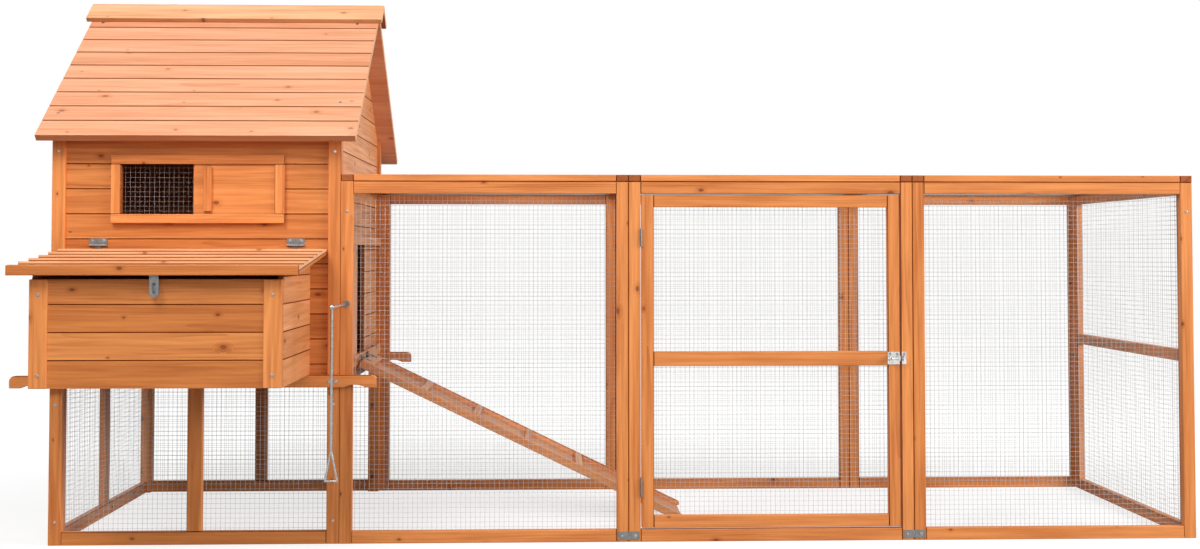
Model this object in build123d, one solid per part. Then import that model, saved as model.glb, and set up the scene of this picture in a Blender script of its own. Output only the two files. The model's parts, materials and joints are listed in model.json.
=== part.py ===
"""Timber chicken coop with a three-bay wire run, in millimetres.

+X runs along the run, +Y goes from the front to the back, +Z is up. While it is drawn, X = 0 is the joint
between house and run, Y = 0 the front face of the frames and Z = 0 the ground. On export every piece is
moved so that the origin lies on the ground in the middle of the whole plan.
"""
import os
from math import asin, atan2, ceil, cos, degrees, hypot, radians, sin, tan

from build123d import *

os.makedirs("parts", exist_ok=True)

# Plan and heights
house_width = 755.0
bay_width = 760.0
bay_count = 3
depth = 820.0
run_wall_height = 952.0
ridge_height = 1475.0
roof_pitch = 41.0

# Timber sections
post_side = 34.0
stile_width = 32.0
stile_thick = 20.0
roof_frame_thick = 18.0
board_thick = 12.0
board_pitch = 66.0
first_board = 27.0
board_setback = 10.0
groove_width = 3.0
groove_depth = 2.0

# House floor and lifting rails
rail_level = 410.0
rail_height = 32.0
rail_thick = 18.0
rail_overhang = 98.0
rail_corner = 14.0
grip_start = 13.0
grip_length = 56.0
grip_depth = 7.0
floor_thick = 12.0
perch_side = 30.0
perch_level = 600.0
perch_gap = 100.0
perch_from_back = 130.0
wall_split_above_hole = 11.0
gable_first_board = 40.0

# Roof
eave_overhang = 60.0
left_overhang = 24.0
right_overhang = 45.0
roof_thick = 18.0
roof_groove_width = 5.0
roof_groove_depth = 3.0
cap_width = 66.0
cap_thick = 14.0
cap_overhang = 14.0
rafter_thick = 20.0
rafter_height = 30.0
ridge_beam_thick = 20.0
ridge_beam_height = 40.0
plate_thick = 20.0
plate_height = 32.0
plate_level = 1060.0

# Window and its sliding shutter
window_width = 190.0
window_height = 132.0
window_sill = 864.0
window_from_left = 178.0
trim_width = 24.0
trim_lip = 6.0
shutter_thick = 8.0
shutter_play = 0.3
shutter_hold = 7.0
shutter_lap = 12.0
shutter_handle_width = 21.0
shutter_handle_height = 118.0
shutter_handle_thick = 10.0
shutter_handle_inset = 28.0

# Nest box and lid
nest_width = 592.0
nest_reach = 360.0
nest_post_width = 43.0
nest_post_thick = 20.0
nest_front_recess = 4.0
nest_front_gap = 24.0
nest_opening_inset = 34.0
nest_opening_height = 236.0
nest_divider_height = 226.0
lid_width = 680.0
lid_reach = 390.0
lid_slope = 6.8
lid_hinge_level = 782.0
lid_slats = 6
slat_thin = 5.0
slat_thick = 13.0
lid_lip_thick = 12.0
lid_lip_height = 24.0
lid_end_batten = 32.0
lid_end_batten_thick = 10.0
lid_back_rail_thick = 20.0
lid_back_rail_height = 22.0
lid_seat_gap = 0.3
lid_knuckle_rise = 2.0
lip_step = 1.0
back_rail_play = 2.0

# Pop hole, its sliding door and the pull rod
hole_width = 200.0
hole_bottom = 468.0
hole_height = 321.0
door_panel_thick = 8.0
door_panel_play = 1.0
door_panel_lap = 8.0
guide_lip = 4.0
guide_block = 15.0
guide_hold = 10.0
panel_below_hole = 5.0
panel_above_hole = 6.0
panel_top_play = 2.0
rod_radius = 3.25
rod_level = 628.0
rod_from_house = 16.0
rod_bore_play = 0.35
rod_leg_inset = 30.0
rod_bend = 12.0
rod_standoff = 24.0
rod_foot = 24.0
ferrule_radius = 9.0
ferrule_thick = 3.0
eye_radius = 7.0
eye_thick = 4.0
eye_pin_radius = 2.5
eye_side_gap = 0.4
tongue_thick = 2.0
tongue_radius = 4.5
eye_head_rim = 1.5
pull_rod_length = 350.0
pull_loop_length = 76.0
pull_loop_width = 30.0
pull_loop_wire = 2.5

# Ramp
ramp_reach = 940.0
ramp_width = 260.0
ramp_thick = 21.0
ramp_toe = 10.0
ramp_rail_width = 20.0
ramp_board_thick = 9.0
ramp_head_length = 32.0
ramp_top_gap = 11.0
ramp_hinge_above_panel = 3.0
cleat_count = 5
cleat_first = 195.0
cleat_pitch = 165.0
cleat_width = 20.0
cleat_thick = 12.0

# Pen below the house
pen_rail_height = 34.0
pen_mullion = 38.0

# Run door and bolt
run_door_gap = 3.0
run_door_lift = 4.0
run_door_mid_rail = 38.0
run_door_mid_level = 462.0
end_mid_rail_level = 468.0
bolt_level = 482.0
bolt_radius = 3.5
bolt_play = 0.4
bolt_standoff = 8.0
bolt_plate_height = 33.0
bolt_guide = 5.0
bolt_guide_wall = 3.1
bolt_plate_margin = 2.0
bolt_end_gap = 1.0
bolt_travel = 13.0
bolt_stem = 2.0
bolt_stem_length = 8.0
bolt_knob = 4.5

# Sheet-metal hinges, hasp, plates and screw heads
leaf_thick = 2.0
knuckle_radius = 3.0
pin_radius = 1.5
pin_play = 0.05
knuckle_gap = 0.3
leaf_relief = 0.5
knuckle_sink = 1.0
butt_height = 48.0
butt_leaf = 16.0
butt_leaf_thick = 1.2
butt_top_level = 779.0
butt_low_level = 119.0
lid_hinge_width = 47.0
lid_hinge_leaf = 18.0
lid_hinge_from_centre = 258.0
ramp_hinge_width = 40.0
ramp_hinge_leaf = 20.0
ramp_hinge_from_centre = 65.0
hasp_width = 22.0
hasp_length = 50.0
hasp_slot_width = 8.0
hasp_slot_height = 26.0
hasp_slot_rim = 7.0
hasp_drop = 1.0
staple_plate = 18.0
staple_height = 24.0
staple_reach = 12.0
staple_thick = 4.0
staple_loop_height = 14.0
staple_eye_radius = 3.5
joining_plate_width = 56.0
joining_plate_height = 21.0
joining_plate_level = 6.0
plate_metal = 2.0
screw_radius = 4.0
screw_head = 1.5
post_screw_foot = 60.0
post_screw_below_rail = 45.0
post_screw_below_plate = 30.0
rail_screw_spread = 16.0
run_screw_below_top = 80.0
nest_screw_foot = 30.0
nest_screw_below_top = 36.0
cut_over = 1.0

# Welded wire: every fourth wire of a half-inch mesh
wire_pitch = 50.8
wire_bar = 2.0
wire_thick = 1.2
net_thick = 2 * wire_thick
net_lap = 10.0

# Places that follow from the sizes above
house_left = -house_width
house_mid = -house_width / 2
run_right = bay_width * bay_count
ridge_y = depth / 2
floor_level = rail_level + rail_height
wall_out = board_setback
wall_in = board_setback + board_thick
slope = radians(roof_pitch)
plan_left = house_left - rail_overhang
plan_front = -lid_reach
plan_back = depth + max(rail_thick, eave_overhang)
origin_x = (plan_left + run_right) / 2
origin_y = (plan_front + plan_back) / 2


def bar(x0, x1, y0, y1, z0, z1):
    """A squared timber or plate between two corners."""
    size = Vector(x1 - x0, y1 - y0, z1 - z0)
    centre = ((x0 + x1) / 2, (y0 + y1) / 2, (z0 + z1) / 2)
    return Pos(*centre) * Box(size.X, size.Y, size.Z)


def along_x(points, x0, x1):
    """A profile given as (y, z) points, carried from x0 to x1."""
    face = make_face(Polyline(*[(x0, y, z) for y, z in points], close=True))
    return extrude(face, amount=x1 - x0, dir=(1, 0, 0))


def along_y(points, y0, y1):
    """A profile given as (x, z) points, carried from y0 to y1."""
    face = make_face(Polyline(*[(x, y0, z) for x, z in points], close=True))
    return extrude(face, amount=y1 - y0, dir=(0, 1, 0))


def rod_x(x0, x1, y, z, radius):
    return Pos((x0 + x1) / 2, y, z) * Rot(0, 90, 0) * Cylinder(radius, x1 - x0)


def rod_y(y0, y1, x, z, radius):
    return Pos(x, (y0 + y1) / 2, z) * Rot(90, 0, 0) * Cylinder(radius, y1 - y0)


def rod_z(z0, z1, x, y, radius):
    return Pos(x, y, (z0 + z1) / 2) * Cylinder(radius, z1 - z0)


def mirror_depth(solid):
    """The same piece on the other side of the ridge."""
    return mirror(solid, about=Plane.XZ.offset(-ridge_y))


def mirror_house(solid):
    """The same piece at the other end of the house."""
    return mirror(solid, about=Plane.YZ.offset(house_mid))


def groove_levels(low, high, first, pitch=board_pitch):
    """Levels of the board joints between two heights, counted from the first joint."""
    count = max(0, ceil((high - first) / pitch))
    return [first + i * pitch for i in range(count) if low < first + i * pitch < high - groove_width]


def net(width, height):
    """Wires of a net, flat around the middle of its plane: a layer upright and one across on top of it."""
    columns = ceil((width - wire_bar) / wire_pitch)
    rows = ceil((height - wire_bar) / wire_pitch)
    step_x = (width - wire_bar) / columns
    step_y = (height - wire_bar) / rows
    left = (wire_bar - width) / 2
    low = (wire_bar - height) / 2
    wires = []
    for i in range(columns + 1):
        wires.append(Pos(left + i * step_x, 0, wire_thick / 2) * Box(wire_bar, height, wire_thick))
    for j in range(rows + 1):
        wires.append(Pos(0, low + j * step_y, net_thick - wire_thick / 2) * Box(width, wire_bar, wire_thick))
    return wires


def net_front(x0, x1, z0, z1, y):
    """A net in an XZ plane whose front face is at y."""
    place = Pos((x0 + x1) / 2, y + net_thick, (z0 + z1) / 2) * Rot(90, 0, 0)
    return [place * wire for wire in net(x1 - x0, z1 - z0)]


def net_side(y0, y1, z0, z1, x):
    """A net in a YZ plane whose left face is at x."""
    place = Plane(origin=(x, (y0 + y1) / 2, (z0 + z1) / 2), x_dir=(0, 1, 0), z_dir=(1, 0, 0))
    return [place * wire for wire in net(y1 - y0, z1 - z0)]


def net_flat(x0, x1, y0, y1, z):
    """A level net whose lower face is at z."""
    place = Pos((x0 + x1) / 2, (y0 + y1) / 2, z)
    return [place * wire for wire in net(x1 - x0, y1 - y0)]


def frame_front(x0, x1, y0, z1):
    """Two stiles and two rails of a wall panel that stands on the ground along X."""
    y1 = y0 + stile_thick
    inner = (x0 + stile_width, x1 - stile_width)
    return [
        bar(x0, x0 + stile_width, y0, y1, 0, z1),
        bar(x1 - stile_width, x1, y0, y1, 0, z1),
        bar(*inner, y0, y1, 0, stile_width),
        bar(*inner, y0, y1, z1 - stile_width, z1),
    ]


nodes = {}


def keep(name, *solids):
    """File one or more finished solids under a node's name, in the part's own frame."""
    nodes[name] = [Pos(-origin_x, -origin_y, 0) * s for s in solids]


# Roof planes
def roof_top(y):
    return ridge_height - abs(y - ridge_y) * tan(slope)


def roof_under(y):
    return roof_top(y) - roof_thick / cos(slope)


# House posts, floor and lifting rails
front_post = along_x(
    [(0, 0), (post_side, 0), (post_side, roof_under(post_side)), (0, roof_under(0))], -post_side, 0
)
front_posts = [front_post, mirror_house(front_post)]
keep("house_posts", *front_posts, *[mirror_depth(p) for p in front_posts])

rail_ends = (plan_left, rail_overhang)
front_rail = bar(*rail_ends, -rail_thick, 0, rail_level, floor_level)
top_ends = front_rail.edges().filter_by(Axis.Y).group_by(Axis.Z)[-1]
front_rail = fillet(top_ends, rail_corner)
grip_radius = (grip_length**2 / 4 + grip_depth**2) / (2 * grip_depth)
grip_middle = grip_start + grip_length / 2
for x0 in (grip_middle, house_left - grip_middle):
    grip_y = (-rail_thick - cut_over, cut_over)
    front_rail -= rod_y(*grip_y, x0, rail_level + grip_depth - grip_radius, grip_radius)
keep("lifting_rails", front_rail, mirror_depth(front_rail))

between_posts_x = (house_left + post_side, -post_side)
between_posts_y = (post_side, depth - post_side)
front_bearer = bar(*between_posts_x, 0, post_side, rail_level, floor_level)
right_bearer = bar(-post_side, 0, *between_posts_y, rail_level, floor_level)
keep("floor_bearers", front_bearer, mirror_depth(front_bearer), right_bearer, mirror_house(right_bearer))
floor_x = (house_left + wall_in, -wall_in)
keep("house_floor", bar(*floor_x, *between_posts_y, floor_level, floor_level + floor_thick))

perches = []
for row in range(2):
    perch_y = depth - perch_from_back - row * perch_gap
    perches.append(bar(*floor_x, perch_y - perch_side, perch_y, perch_level, perch_level + perch_side))
keep("perches", *perches)


# Boarded walls
def groove_front(x0, x1, z, y):
    """A V cut along X in a face that looks to the front."""
    low, high = z - groove_width / 2, z + groove_width / 2
    out = y - cut_over
    return along_x([(out, low), (y, low), (y + groove_depth, z), (y, high), (out, high)], x0, x1)


def groove_right(y0, y1, z, x):
    """A V cut along Y in a face that looks to the right."""
    low, high = z - groove_width / 2, z + groove_width / 2
    out = x + cut_over
    return along_y([(out, low), (x, low), (x - groove_depth, z), (x, high), (out, high)], y0, y1)


wall_top = roof_under(wall_out)
first_groove = floor_level + first_board
window_x = (house_left + window_from_left, house_left + window_from_left + window_width)
window_z = (window_sill, window_sill + window_height)
nest_x = (house_mid - nest_width / 2, house_mid + nest_width / 2)
nest_hole_x = (nest_x[0] + nest_opening_inset, nest_x[1] - nest_opening_inset)
nest_floor_top = floor_level + floor_thick

plain_front = bar(*between_posts_x, wall_out, wall_in, floor_level, wall_top)
wall_grooves = [
    groove_front(*between_posts_x, z, wall_out) for z in groove_levels(floor_level, wall_top, first_groove)
]
plain_front -= wall_grooves
through_wall = (wall_out - cut_over, wall_in + cut_over)
window_hole = bar(*window_x, *through_wall, *window_z)
nest_hole = bar(*nest_hole_x, *through_wall, nest_floor_top, nest_floor_top + nest_opening_height)
keep("front_wall_boards", plain_front - window_hole - nest_hole)
keep("back_wall_boards", mirror_depth(plain_front))

side_y = between_posts_y
side_x = (-wall_in, -wall_out)
hole_y = (ridge_y - hole_width / 2, ridge_y + hole_width / 2)
hole_z = (hole_bottom, hole_bottom + hole_height)
wall_split = hole_z[1] + wall_split_above_hole
gable_profile = [
    (side_y[0], wall_split),
    (side_y[1], wall_split),
    (side_y[1], roof_under(side_y[1])),
    (ridge_y, roof_under(ridge_y)),
    (side_y[0], roof_under(side_y[0])),
]
gable_upper = along_x(gable_profile, *side_x)
gable_first = wall_split + gable_first_board
gable_upper -= [
    groove_right(0, depth, z, -wall_out) for z in groove_levels(wall_split, roof_under(ridge_y), gable_first)
]
gable_lower = bar(*side_x, *side_y, floor_level, wall_split)
lower_first = floor_level + board_pitch
gable_lower -= [
    groove_right(0, depth, z, -wall_out) for z in groove_levels(floor_level, wall_split, lower_first)
]
pop_hole = bar(side_x[0] - cut_over, side_x[1] + cut_over, *hole_y, *hole_z)
keep("right_wall_boards", gable_lower - pop_hole, gable_upper)
keep("left_wall_boards", mirror_house(gable_lower), mirror_house(gable_upper))

front_plate = bar(*between_posts_x, wall_in, wall_in + plate_thick, plate_level, plate_level + plate_height)
keep("wall_plates", front_plate, mirror_depth(front_plate))

# Roof
roof_x = (house_left - left_overhang, right_overhang)
eave_y = -eave_overhang
roof_profile = [
    (eave_y, roof_top(eave_y)),
    (ridge_y, ridge_height),
    (ridge_y, roof_under(ridge_y)),
    (eave_y + roof_thick * sin(slope), roof_top(eave_y) - roof_thick * cos(slope)),
]
front_slope = along_x(roof_profile, *roof_x)
slope_length = (ridge_y - eave_y) / cos(slope)
roof_boards = int(slope_length // board_pitch)
for row in range(1, roof_boards + 1):
    up = row * board_pitch
    along = Pos(0, eave_y + up * cos(slope), roof_top(eave_y) + up * sin(slope)) * Rot(roof_pitch, 0, 0)
    half = roof_groove_width / 2
    lips = [(half, 0), (half, cut_over), (-half, cut_over), (-half, 0)]
    vee = along_x([(0, -roof_groove_depth), *lips], *roof_x)
    front_slope -= along * vee
keep("roof_front_boards", front_slope)
keep("roof_back_boards", mirror_depth(front_slope))

cap_foot = (ridge_y - cap_width * cos(slope), ridge_height - cap_width * sin(slope))
cap_profile = [
    (ridge_y, ridge_height),
    (ridge_y, ridge_height + cap_thick / cos(slope)),
    (cap_foot[0] - cap_thick * sin(slope), cap_foot[1] + cap_thick * cos(slope)),
    cap_foot,
]
front_cap = along_x(cap_profile, roof_x[0] - cap_overhang, roof_x[1] + cap_overhang)
keep("ridge_cap", front_cap, mirror_depth(front_cap))

beam_y = (ridge_y - ridge_beam_thick / 2, ridge_y + ridge_beam_thick / 2)
beam_top = roof_under(beam_y[0])
ridge_beam = bar(*floor_x, *beam_y, beam_top - ridge_beam_height, beam_top)
rafter_start = post_side + plate_thick
rafter_drop = rafter_height / cos(slope)
rafter_profile = [
    (rafter_start, roof_under(rafter_start)),
    (beam_y[0], roof_under(beam_y[0])),
    (beam_y[0], roof_under(beam_y[0]) - rafter_drop),
    (rafter_start, roof_under(rafter_start) - rafter_drop),
]
right_rafter = along_x(rafter_profile, -wall_in - rafter_thick, -wall_in)
front_rafters = [right_rafter, mirror_house(right_rafter)]
keep("roof_bearers", ridge_beam, *front_rafters, *[mirror_depth(r) for r in front_rafters])

# Window trim with a groove behind its lip, wire and shutter
shutter_back = wall_out - shutter_play
shutter_front = shutter_back - shutter_thick
trim_lip_back = shutter_front - shutter_play
trim_front = trim_lip_back - trim_lip
shutter_width = window_width + 2 * shutter_lap
shutter_x = (window_x[1], window_x[1] + shutter_width)
trim_in_x = (window_x[0], shutter_x[1] + shutter_play)
trim_out_x = (trim_in_x[0] - trim_width, trim_in_x[1] + trim_width)
trim_out_z = (window_z[0] - trim_width, window_z[1] + trim_width)
rebate = shutter_hold + shutter_play
low_trim = along_x(
    [
        (wall_out, trim_out_z[0]),
        (wall_out, window_z[0] - rebate),
        (trim_lip_back, window_z[0] - rebate),
        (trim_lip_back, window_z[0]),
        (trim_front, window_z[0]),
        (trim_front, trim_out_z[0]),
    ],
    *trim_out_x,
)
top_trim = along_x(
    [
        (wall_out, trim_out_z[1]),
        (wall_out, window_z[1] + rebate),
        (trim_lip_back, window_z[1] + rebate),
        (trim_lip_back, window_z[1]),
        (trim_front, window_z[1]),
        (trim_front, trim_out_z[1]),
    ],
    *trim_out_x,
)
side_trim_z = (window_z[0], window_z[1])
left_trim = bar(trim_out_x[0], trim_in_x[0], trim_front, trim_lip_back, *side_trim_z)
right_trim = bar(trim_in_x[1], trim_out_x[1], trim_front, trim_lip_back, *side_trim_z)
left_stop_x = (trim_out_x[0], trim_in_x[0] - shutter_lap - shutter_play)
left_stop = bar(*left_stop_x, trim_lip_back, wall_out, *side_trim_z)
right_stop = bar(trim_in_x[1], trim_out_x[1], trim_lip_back, wall_out, *side_trim_z)
keep("window_frame", low_trim, top_trim, left_trim + left_stop, right_trim + right_stop)
window_net_x = (window_x[0] - net_lap, window_x[1] + net_lap)
window_net_z = (window_z[0] - net_lap, window_z[1] + net_lap)
keep("window_mesh", *net_front(*window_net_x, *window_net_z, wall_in))
shutter_z = (window_z[0] - shutter_hold, window_z[1] + shutter_hold)
keep("window_shutter", bar(*shutter_x, shutter_front, shutter_back, *shutter_z))
handle_x = shutter_x[0] + shutter_handle_inset
handle_low = (window_z[0] + window_z[1] - shutter_handle_height) / 2
keep(
    "shutter_handle",
    bar(
        handle_x,
        handle_x + shutter_handle_width,
        shutter_front - shutter_handle_thick,
        shutter_front,
        handle_low,
        handle_low + shutter_handle_height,
    ),
)

# Nest box
lid_tilt = radians(lid_slope)
lid_axis_y = wall_out - leaf_thick - knuckle_radius + knuckle_sink
lid_back_y = lid_axis_y - leaf_thick / 2
lid_back_under = lid_hinge_level - slat_thick - lid_knuckle_rise


def lid_under(y):
    """Level of the underside of the lid's boards."""
    return lid_back_under + (y - lid_back_y) * tan(lid_tilt)


nest_front = -nest_reach
nest_post_back = nest_front + nest_post_thick
board_front = nest_front + nest_front_recess
board_back = board_front + board_thick
nest_top = lid_under(nest_front) - nest_front_gap
nest_posts = []
for x0 in (nest_x[0], nest_x[1] - nest_post_width):
    nest_posts.append(bar(x0, x0 + nest_post_width, nest_front, nest_post_back, floor_level, nest_top))
keep("nest_corner_posts", *nest_posts)
nest_front_x = (nest_x[0] + nest_post_width, nest_x[1] - nest_post_width)
nest_boards = bar(*nest_front_x, board_front, board_back, floor_level, nest_top)
nest_first = floor_level + board_pitch
nest_levels = groove_levels(floor_level, nest_top, nest_first)
nest_boards -= [groove_front(*nest_front_x, z, board_front) for z in nest_levels]
keep("nest_front_boards", nest_boards)
side_profile = [
    (nest_post_back, floor_level),
    (wall_out, floor_level),
    (wall_out, lid_under(lid_back_y) - lid_seat_gap),
    (lid_back_y, lid_under(lid_back_y) - lid_seat_gap),
    (nest_post_back, lid_under(nest_post_back) - lid_seat_gap),
]
nest_right = along_x(side_profile, nest_x[1] - board_thick, nest_x[1])
side_levels = groove_levels(floor_level, lid_under(nest_post_back), nest_first)
nest_right -= [groove_right(nest_front, wall_out, z, nest_x[1]) for z in side_levels]
keep("nest_side_boards", nest_right, mirror_house(nest_right))
nest_in_x = (nest_x[0] + board_thick, nest_x[1] - board_thick)
nest_floor_y = (max(board_back, nest_post_back), wall_out)
nest_floor = bar(*nest_in_x, *nest_floor_y, floor_level, nest_floor_top)
front_gap = bar(*nest_front_x, board_back, nest_floor_y[0], floor_level, nest_floor_top)
keep("nest_floor", nest_floor + front_gap)
divider_x = (house_mid - board_thick / 2, house_mid + board_thick / 2)
keep(
    "nest_divider",
    bar(*divider_x, board_back, wall_out, nest_floor_top, nest_floor_top + nest_divider_height),
)

# Nest lid: lapped boards, lip, back rail and end battens
lid_x = (house_mid - lid_width / 2, house_mid + lid_width / 2)
lip_front = -lid_reach
lip_back = lip_front + lid_lip_thick
lid_profile = [(lid_back_y, lid_under(lid_back_y)), (lip_back, lid_under(lip_back))]
slat_run = (lid_back_y - lip_back) / lid_slats
for row in range(lid_slats):
    front_edge = lip_back + row * slat_run
    back_edge = front_edge + slat_run
    lid_profile.append((front_edge, lid_under(front_edge) + slat_thick))
    lid_profile.append((back_edge, lid_under(back_edge) + slat_thin))
keep("nest_lid_boards", along_x(lid_profile, *lid_x))
lip_top = lid_under(lip_back) + slat_thick - lip_step
lip_bottom = lip_top - lid_lip_height
lip = bar(*lid_x, lip_front, lip_back, lip_bottom, lip_top)
back_rail_x = (nest_in_x[0] + back_rail_play, nest_in_x[1] - back_rail_play)
back_rail_y = (lid_back_y - lid_back_rail_thick, lid_back_y)
back_rail_low = lid_under(back_rail_y[0]) - lid_back_rail_height
back_rail = along_x(
    [
        (back_rail_y[0], back_rail_low),
        (back_rail_y[1], back_rail_low),
        (back_rail_y[1], lid_under(back_rail_y[1])),
        (back_rail_y[0], lid_under(back_rail_y[0])),
    ],
    *back_rail_x,
)
batten_y = (lip_back, -knuckle_radius)
end_batten = along_x(
    [
        (batten_y[0], lid_under(batten_y[0]) - lid_end_batten_thick),
        (batten_y[1], lid_under(batten_y[1]) - lid_end_batten_thick),
        (batten_y[1], lid_under(batten_y[1])),
        (batten_y[0], lid_under(batten_y[0])),
    ],
    lid_x[1] - lid_end_batten,
    lid_x[1],
)
keep("nest_lid_rails", lip, back_rail, end_batten, mirror_house(end_batten))


# Knuckled hinges: two outer knuckles and the pin on the fixed leaf, the middle one on the moving leaf
def thirds(low, high):
    step = (high - low) / 3
    return (low, low + step), (low + step + knuckle_gap, high - step - knuckle_gap), (high - step, high)


lid_fixed, lid_moving, pins = [], [], []
for side in (-1, 1):
    centre = house_mid + side * lid_hinge_from_centre
    ends = (centre - lid_hinge_width / 2, centre + lid_hinge_width / 2)
    first, middle, last = thirds(*ends)
    axis = (lid_axis_y, lid_hinge_level)
    leaf_y = (wall_out - leaf_thick, wall_out)
    leaf_top = lid_hinge_level + lid_hinge_leaf
    fixed = bar(*ends, *leaf_y, lid_hinge_level + knuckle_radius + leaf_relief, leaf_top)
    for part in (first, last):
        fixed += rod_x(*part, *axis, knuckle_radius)
        fixed += bar(*part, *leaf_y, lid_hinge_level, leaf_top)
    bore_x = (ends[0] - cut_over, ends[1] + cut_over)
    fixed -= rod_x(*bore_x, *axis, pin_radius)
    leaf_low = back_rail_low
    moving = rod_x(*middle, *axis, knuckle_radius)
    moving += bar(*middle, lid_back_y, lid_back_y + leaf_thick, leaf_low, lid_hinge_level)
    moving -= rod_x(*bore_x, *axis, pin_radius + pin_play)
    lid_fixed.append(fixed)
    lid_moving.append(moving)
    pins.append(rod_x(*ends, *axis, pin_radius))
keep("lid_hinge_wall_leaves", *lid_fixed)
keep("lid_hinge_lid_leaves", *lid_moving)

# Hasp on the lip: a leaf with its pin, a hanging slotted strap and the staple on the nest box
hasp_x = (house_mid - hasp_width / 2, house_mid + hasp_width / 2)
hasp_axis_y = lip_back + knuckle_radius
hasp_axis_z = lip_bottom - hasp_drop
hasp_first, hasp_middle, hasp_last = thirds(*hasp_x)
hasp_leaf_y = (lip_back, lip_back + leaf_thick)
hasp_leaf_top = lid_under(lip_back) - leaf_relief
hasp_leaf = bar(*hasp_x, *hasp_leaf_y, hasp_axis_z + knuckle_radius + leaf_relief, hasp_leaf_top)
for part in (hasp_first, hasp_last):
    hasp_leaf += rod_x(*part, hasp_axis_y, hasp_axis_z, knuckle_radius)
    hasp_leaf += bar(*part, *hasp_leaf_y, hasp_axis_z, hasp_leaf_top)
hasp_bore_x = (hasp_x[0] - cut_over, hasp_x[1] + cut_over)
hasp_leaf -= rod_x(*hasp_bore_x, hasp_axis_y, hasp_axis_z, pin_radius)
hasp_pin = rod_x(*hasp_x, hasp_axis_y, hasp_axis_z, pin_radius)
keep("hasp_leaf", hasp_leaf, hasp_pin)
strap_y = (hasp_axis_y - leaf_thick / 2, hasp_axis_y + leaf_thick / 2)
strap_low = hasp_axis_z - hasp_length
strap = bar(*hasp_x, *strap_y, strap_low, hasp_axis_z - knuckle_radius - leaf_relief)
strap = fillet(strap.edges().filter_by(Axis.Y).group_by(Axis.Z)[0], hasp_width / 3)
strap += bar(*hasp_middle, *strap_y, hasp_axis_z - knuckle_radius - 2 * leaf_relief, hasp_axis_z)
strap += rod_x(*hasp_middle, hasp_axis_y, hasp_axis_z, knuckle_radius)
strap -= rod_x(*hasp_bore_x, hasp_axis_y, hasp_axis_z, pin_radius + pin_play)
slot_low = strap_low + hasp_slot_rim
slot_x = (house_mid - hasp_slot_width / 2, house_mid + hasp_slot_width / 2)
strap -= bar(*slot_x, strap_y[0] - cut_over, strap_y[1] + cut_over, slot_low, slot_low + hasp_slot_height)
keep("hasp_strap", strap)
staple_mid = slot_low + hasp_slot_height / 2
staple_base = bar(
    house_mid - staple_plate / 2,
    house_mid + staple_plate / 2,
    board_front - leaf_thick,
    board_front,
    staple_mid - staple_height / 2,
    staple_mid + staple_height / 2,
)
staple_loop = bar(
    house_mid - staple_thick / 2,
    house_mid + staple_thick / 2,
    board_front - leaf_thick - staple_reach,
    board_front - leaf_thick,
    staple_mid - staple_loop_height / 2,
    staple_mid + staple_loop_height / 2,
)
staple_eye_y = board_front - leaf_thick - staple_reach / 2
staple_eye = rod_x(*hasp_x, staple_eye_y, staple_mid, staple_eye_radius)
keep("hasp_staple", staple_base + staple_loop - staple_eye)

# Pop door in two grooved guides on the outside of the right wall
panel_x = (-wall_out + door_panel_play, -wall_out + door_panel_play + door_panel_thick)
groove_x = panel_x[1] + door_panel_play
panel_width = hole_width + 2 * door_panel_lap
panel_travel = hole_width + door_panel_lap + door_panel_play
panel_y = (hole_y[0] - door_panel_play - panel_width, hole_y[0] - door_panel_play)
panel_z = (hole_z[0] - panel_below_hole, hole_z[1] + panel_above_hole)
top_guide = along_y(
    [
        (-wall_out, panel_z[1] + panel_top_play),
        (groove_x, panel_z[1] + panel_top_play),
        (groove_x, panel_z[1] - guide_hold),
        (groove_x + guide_lip, panel_z[1] - guide_hold),
        (groove_x + guide_lip, panel_z[1] + guide_block),
        (-wall_out, panel_z[1] + guide_block),
    ],
    *side_y,
)
low_guide_base = floor_level
low_guide = along_y(
    [
        (-wall_out, panel_z[0] - door_panel_play),
        (groove_x, panel_z[0] - door_panel_play),
        (groove_x, panel_z[0] + guide_hold),
        (groove_x + guide_lip, panel_z[0] + guide_hold),
        (groove_x + guide_lip, low_guide_base),
        (-wall_out, low_guide_base),
    ],
    *side_y,
)
keep("pop_door_guides", top_guide, low_guide)
keep("pop_door_panel", bar(*panel_x, *panel_y, *panel_z))

# Inner rod: foot plate on the panel, bend, straight through the stile, and a tongue with the eye pin
eye_y = -(panel_travel + rod_standoff)
leg_y = panel_y[0] + rod_leg_inset
face_x = panel_x[1]
rod_start = (face_x + leaf_thick, leg_y, rod_level)
rod_corner = (rod_from_house, leg_y, rod_level)
tongue_end = eye_y + eye_radius + eye_side_gap
rod_path = FilletPolyline(rod_start, rod_corner, (rod_from_house, tongue_end, rod_level), radius=rod_bend)
inner_rod = sweep(Plane(origin=rod_start, z_dir=(1, 0, 0)) * Circle(rod_radius), rod_path)
foot_y = (leg_y - rod_foot / 2, leg_y + rod_foot / 2)
foot_z = (rod_level - rod_foot / 2, rod_level + rod_foot / 2)
foot_plate = bar(face_x, face_x + leaf_thick, *foot_y, *foot_z)
eye_x = (rod_from_house - eye_thick / 2, rod_from_house + eye_thick / 2)
tongue_x = (eye_x[0] - eye_side_gap - tongue_thick, eye_x[0] - eye_side_gap)
tongue = rod_x(*tongue_x, eye_y, rod_level, tongue_radius)
neck_z = (rod_level - rod_radius / 2, rod_level + rod_radius / 2)
tongue += bar(*tongue_x, eye_y, tongue_end + eye_radius, *neck_z)
eye_pin = rod_x(tongue_x[0], eye_x[1] + eye_side_gap, eye_y, rod_level, eye_pin_radius)
head_x = (eye_x[1] + eye_side_gap, eye_x[1] + eye_side_gap + tongue_thick)
eye_head = rod_x(*head_x, eye_y, rod_level, eye_pin_radius + eye_head_rim)
keep("pop_door_rod", inner_rod + foot_plate + tongue + eye_pin + eye_head)
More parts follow.
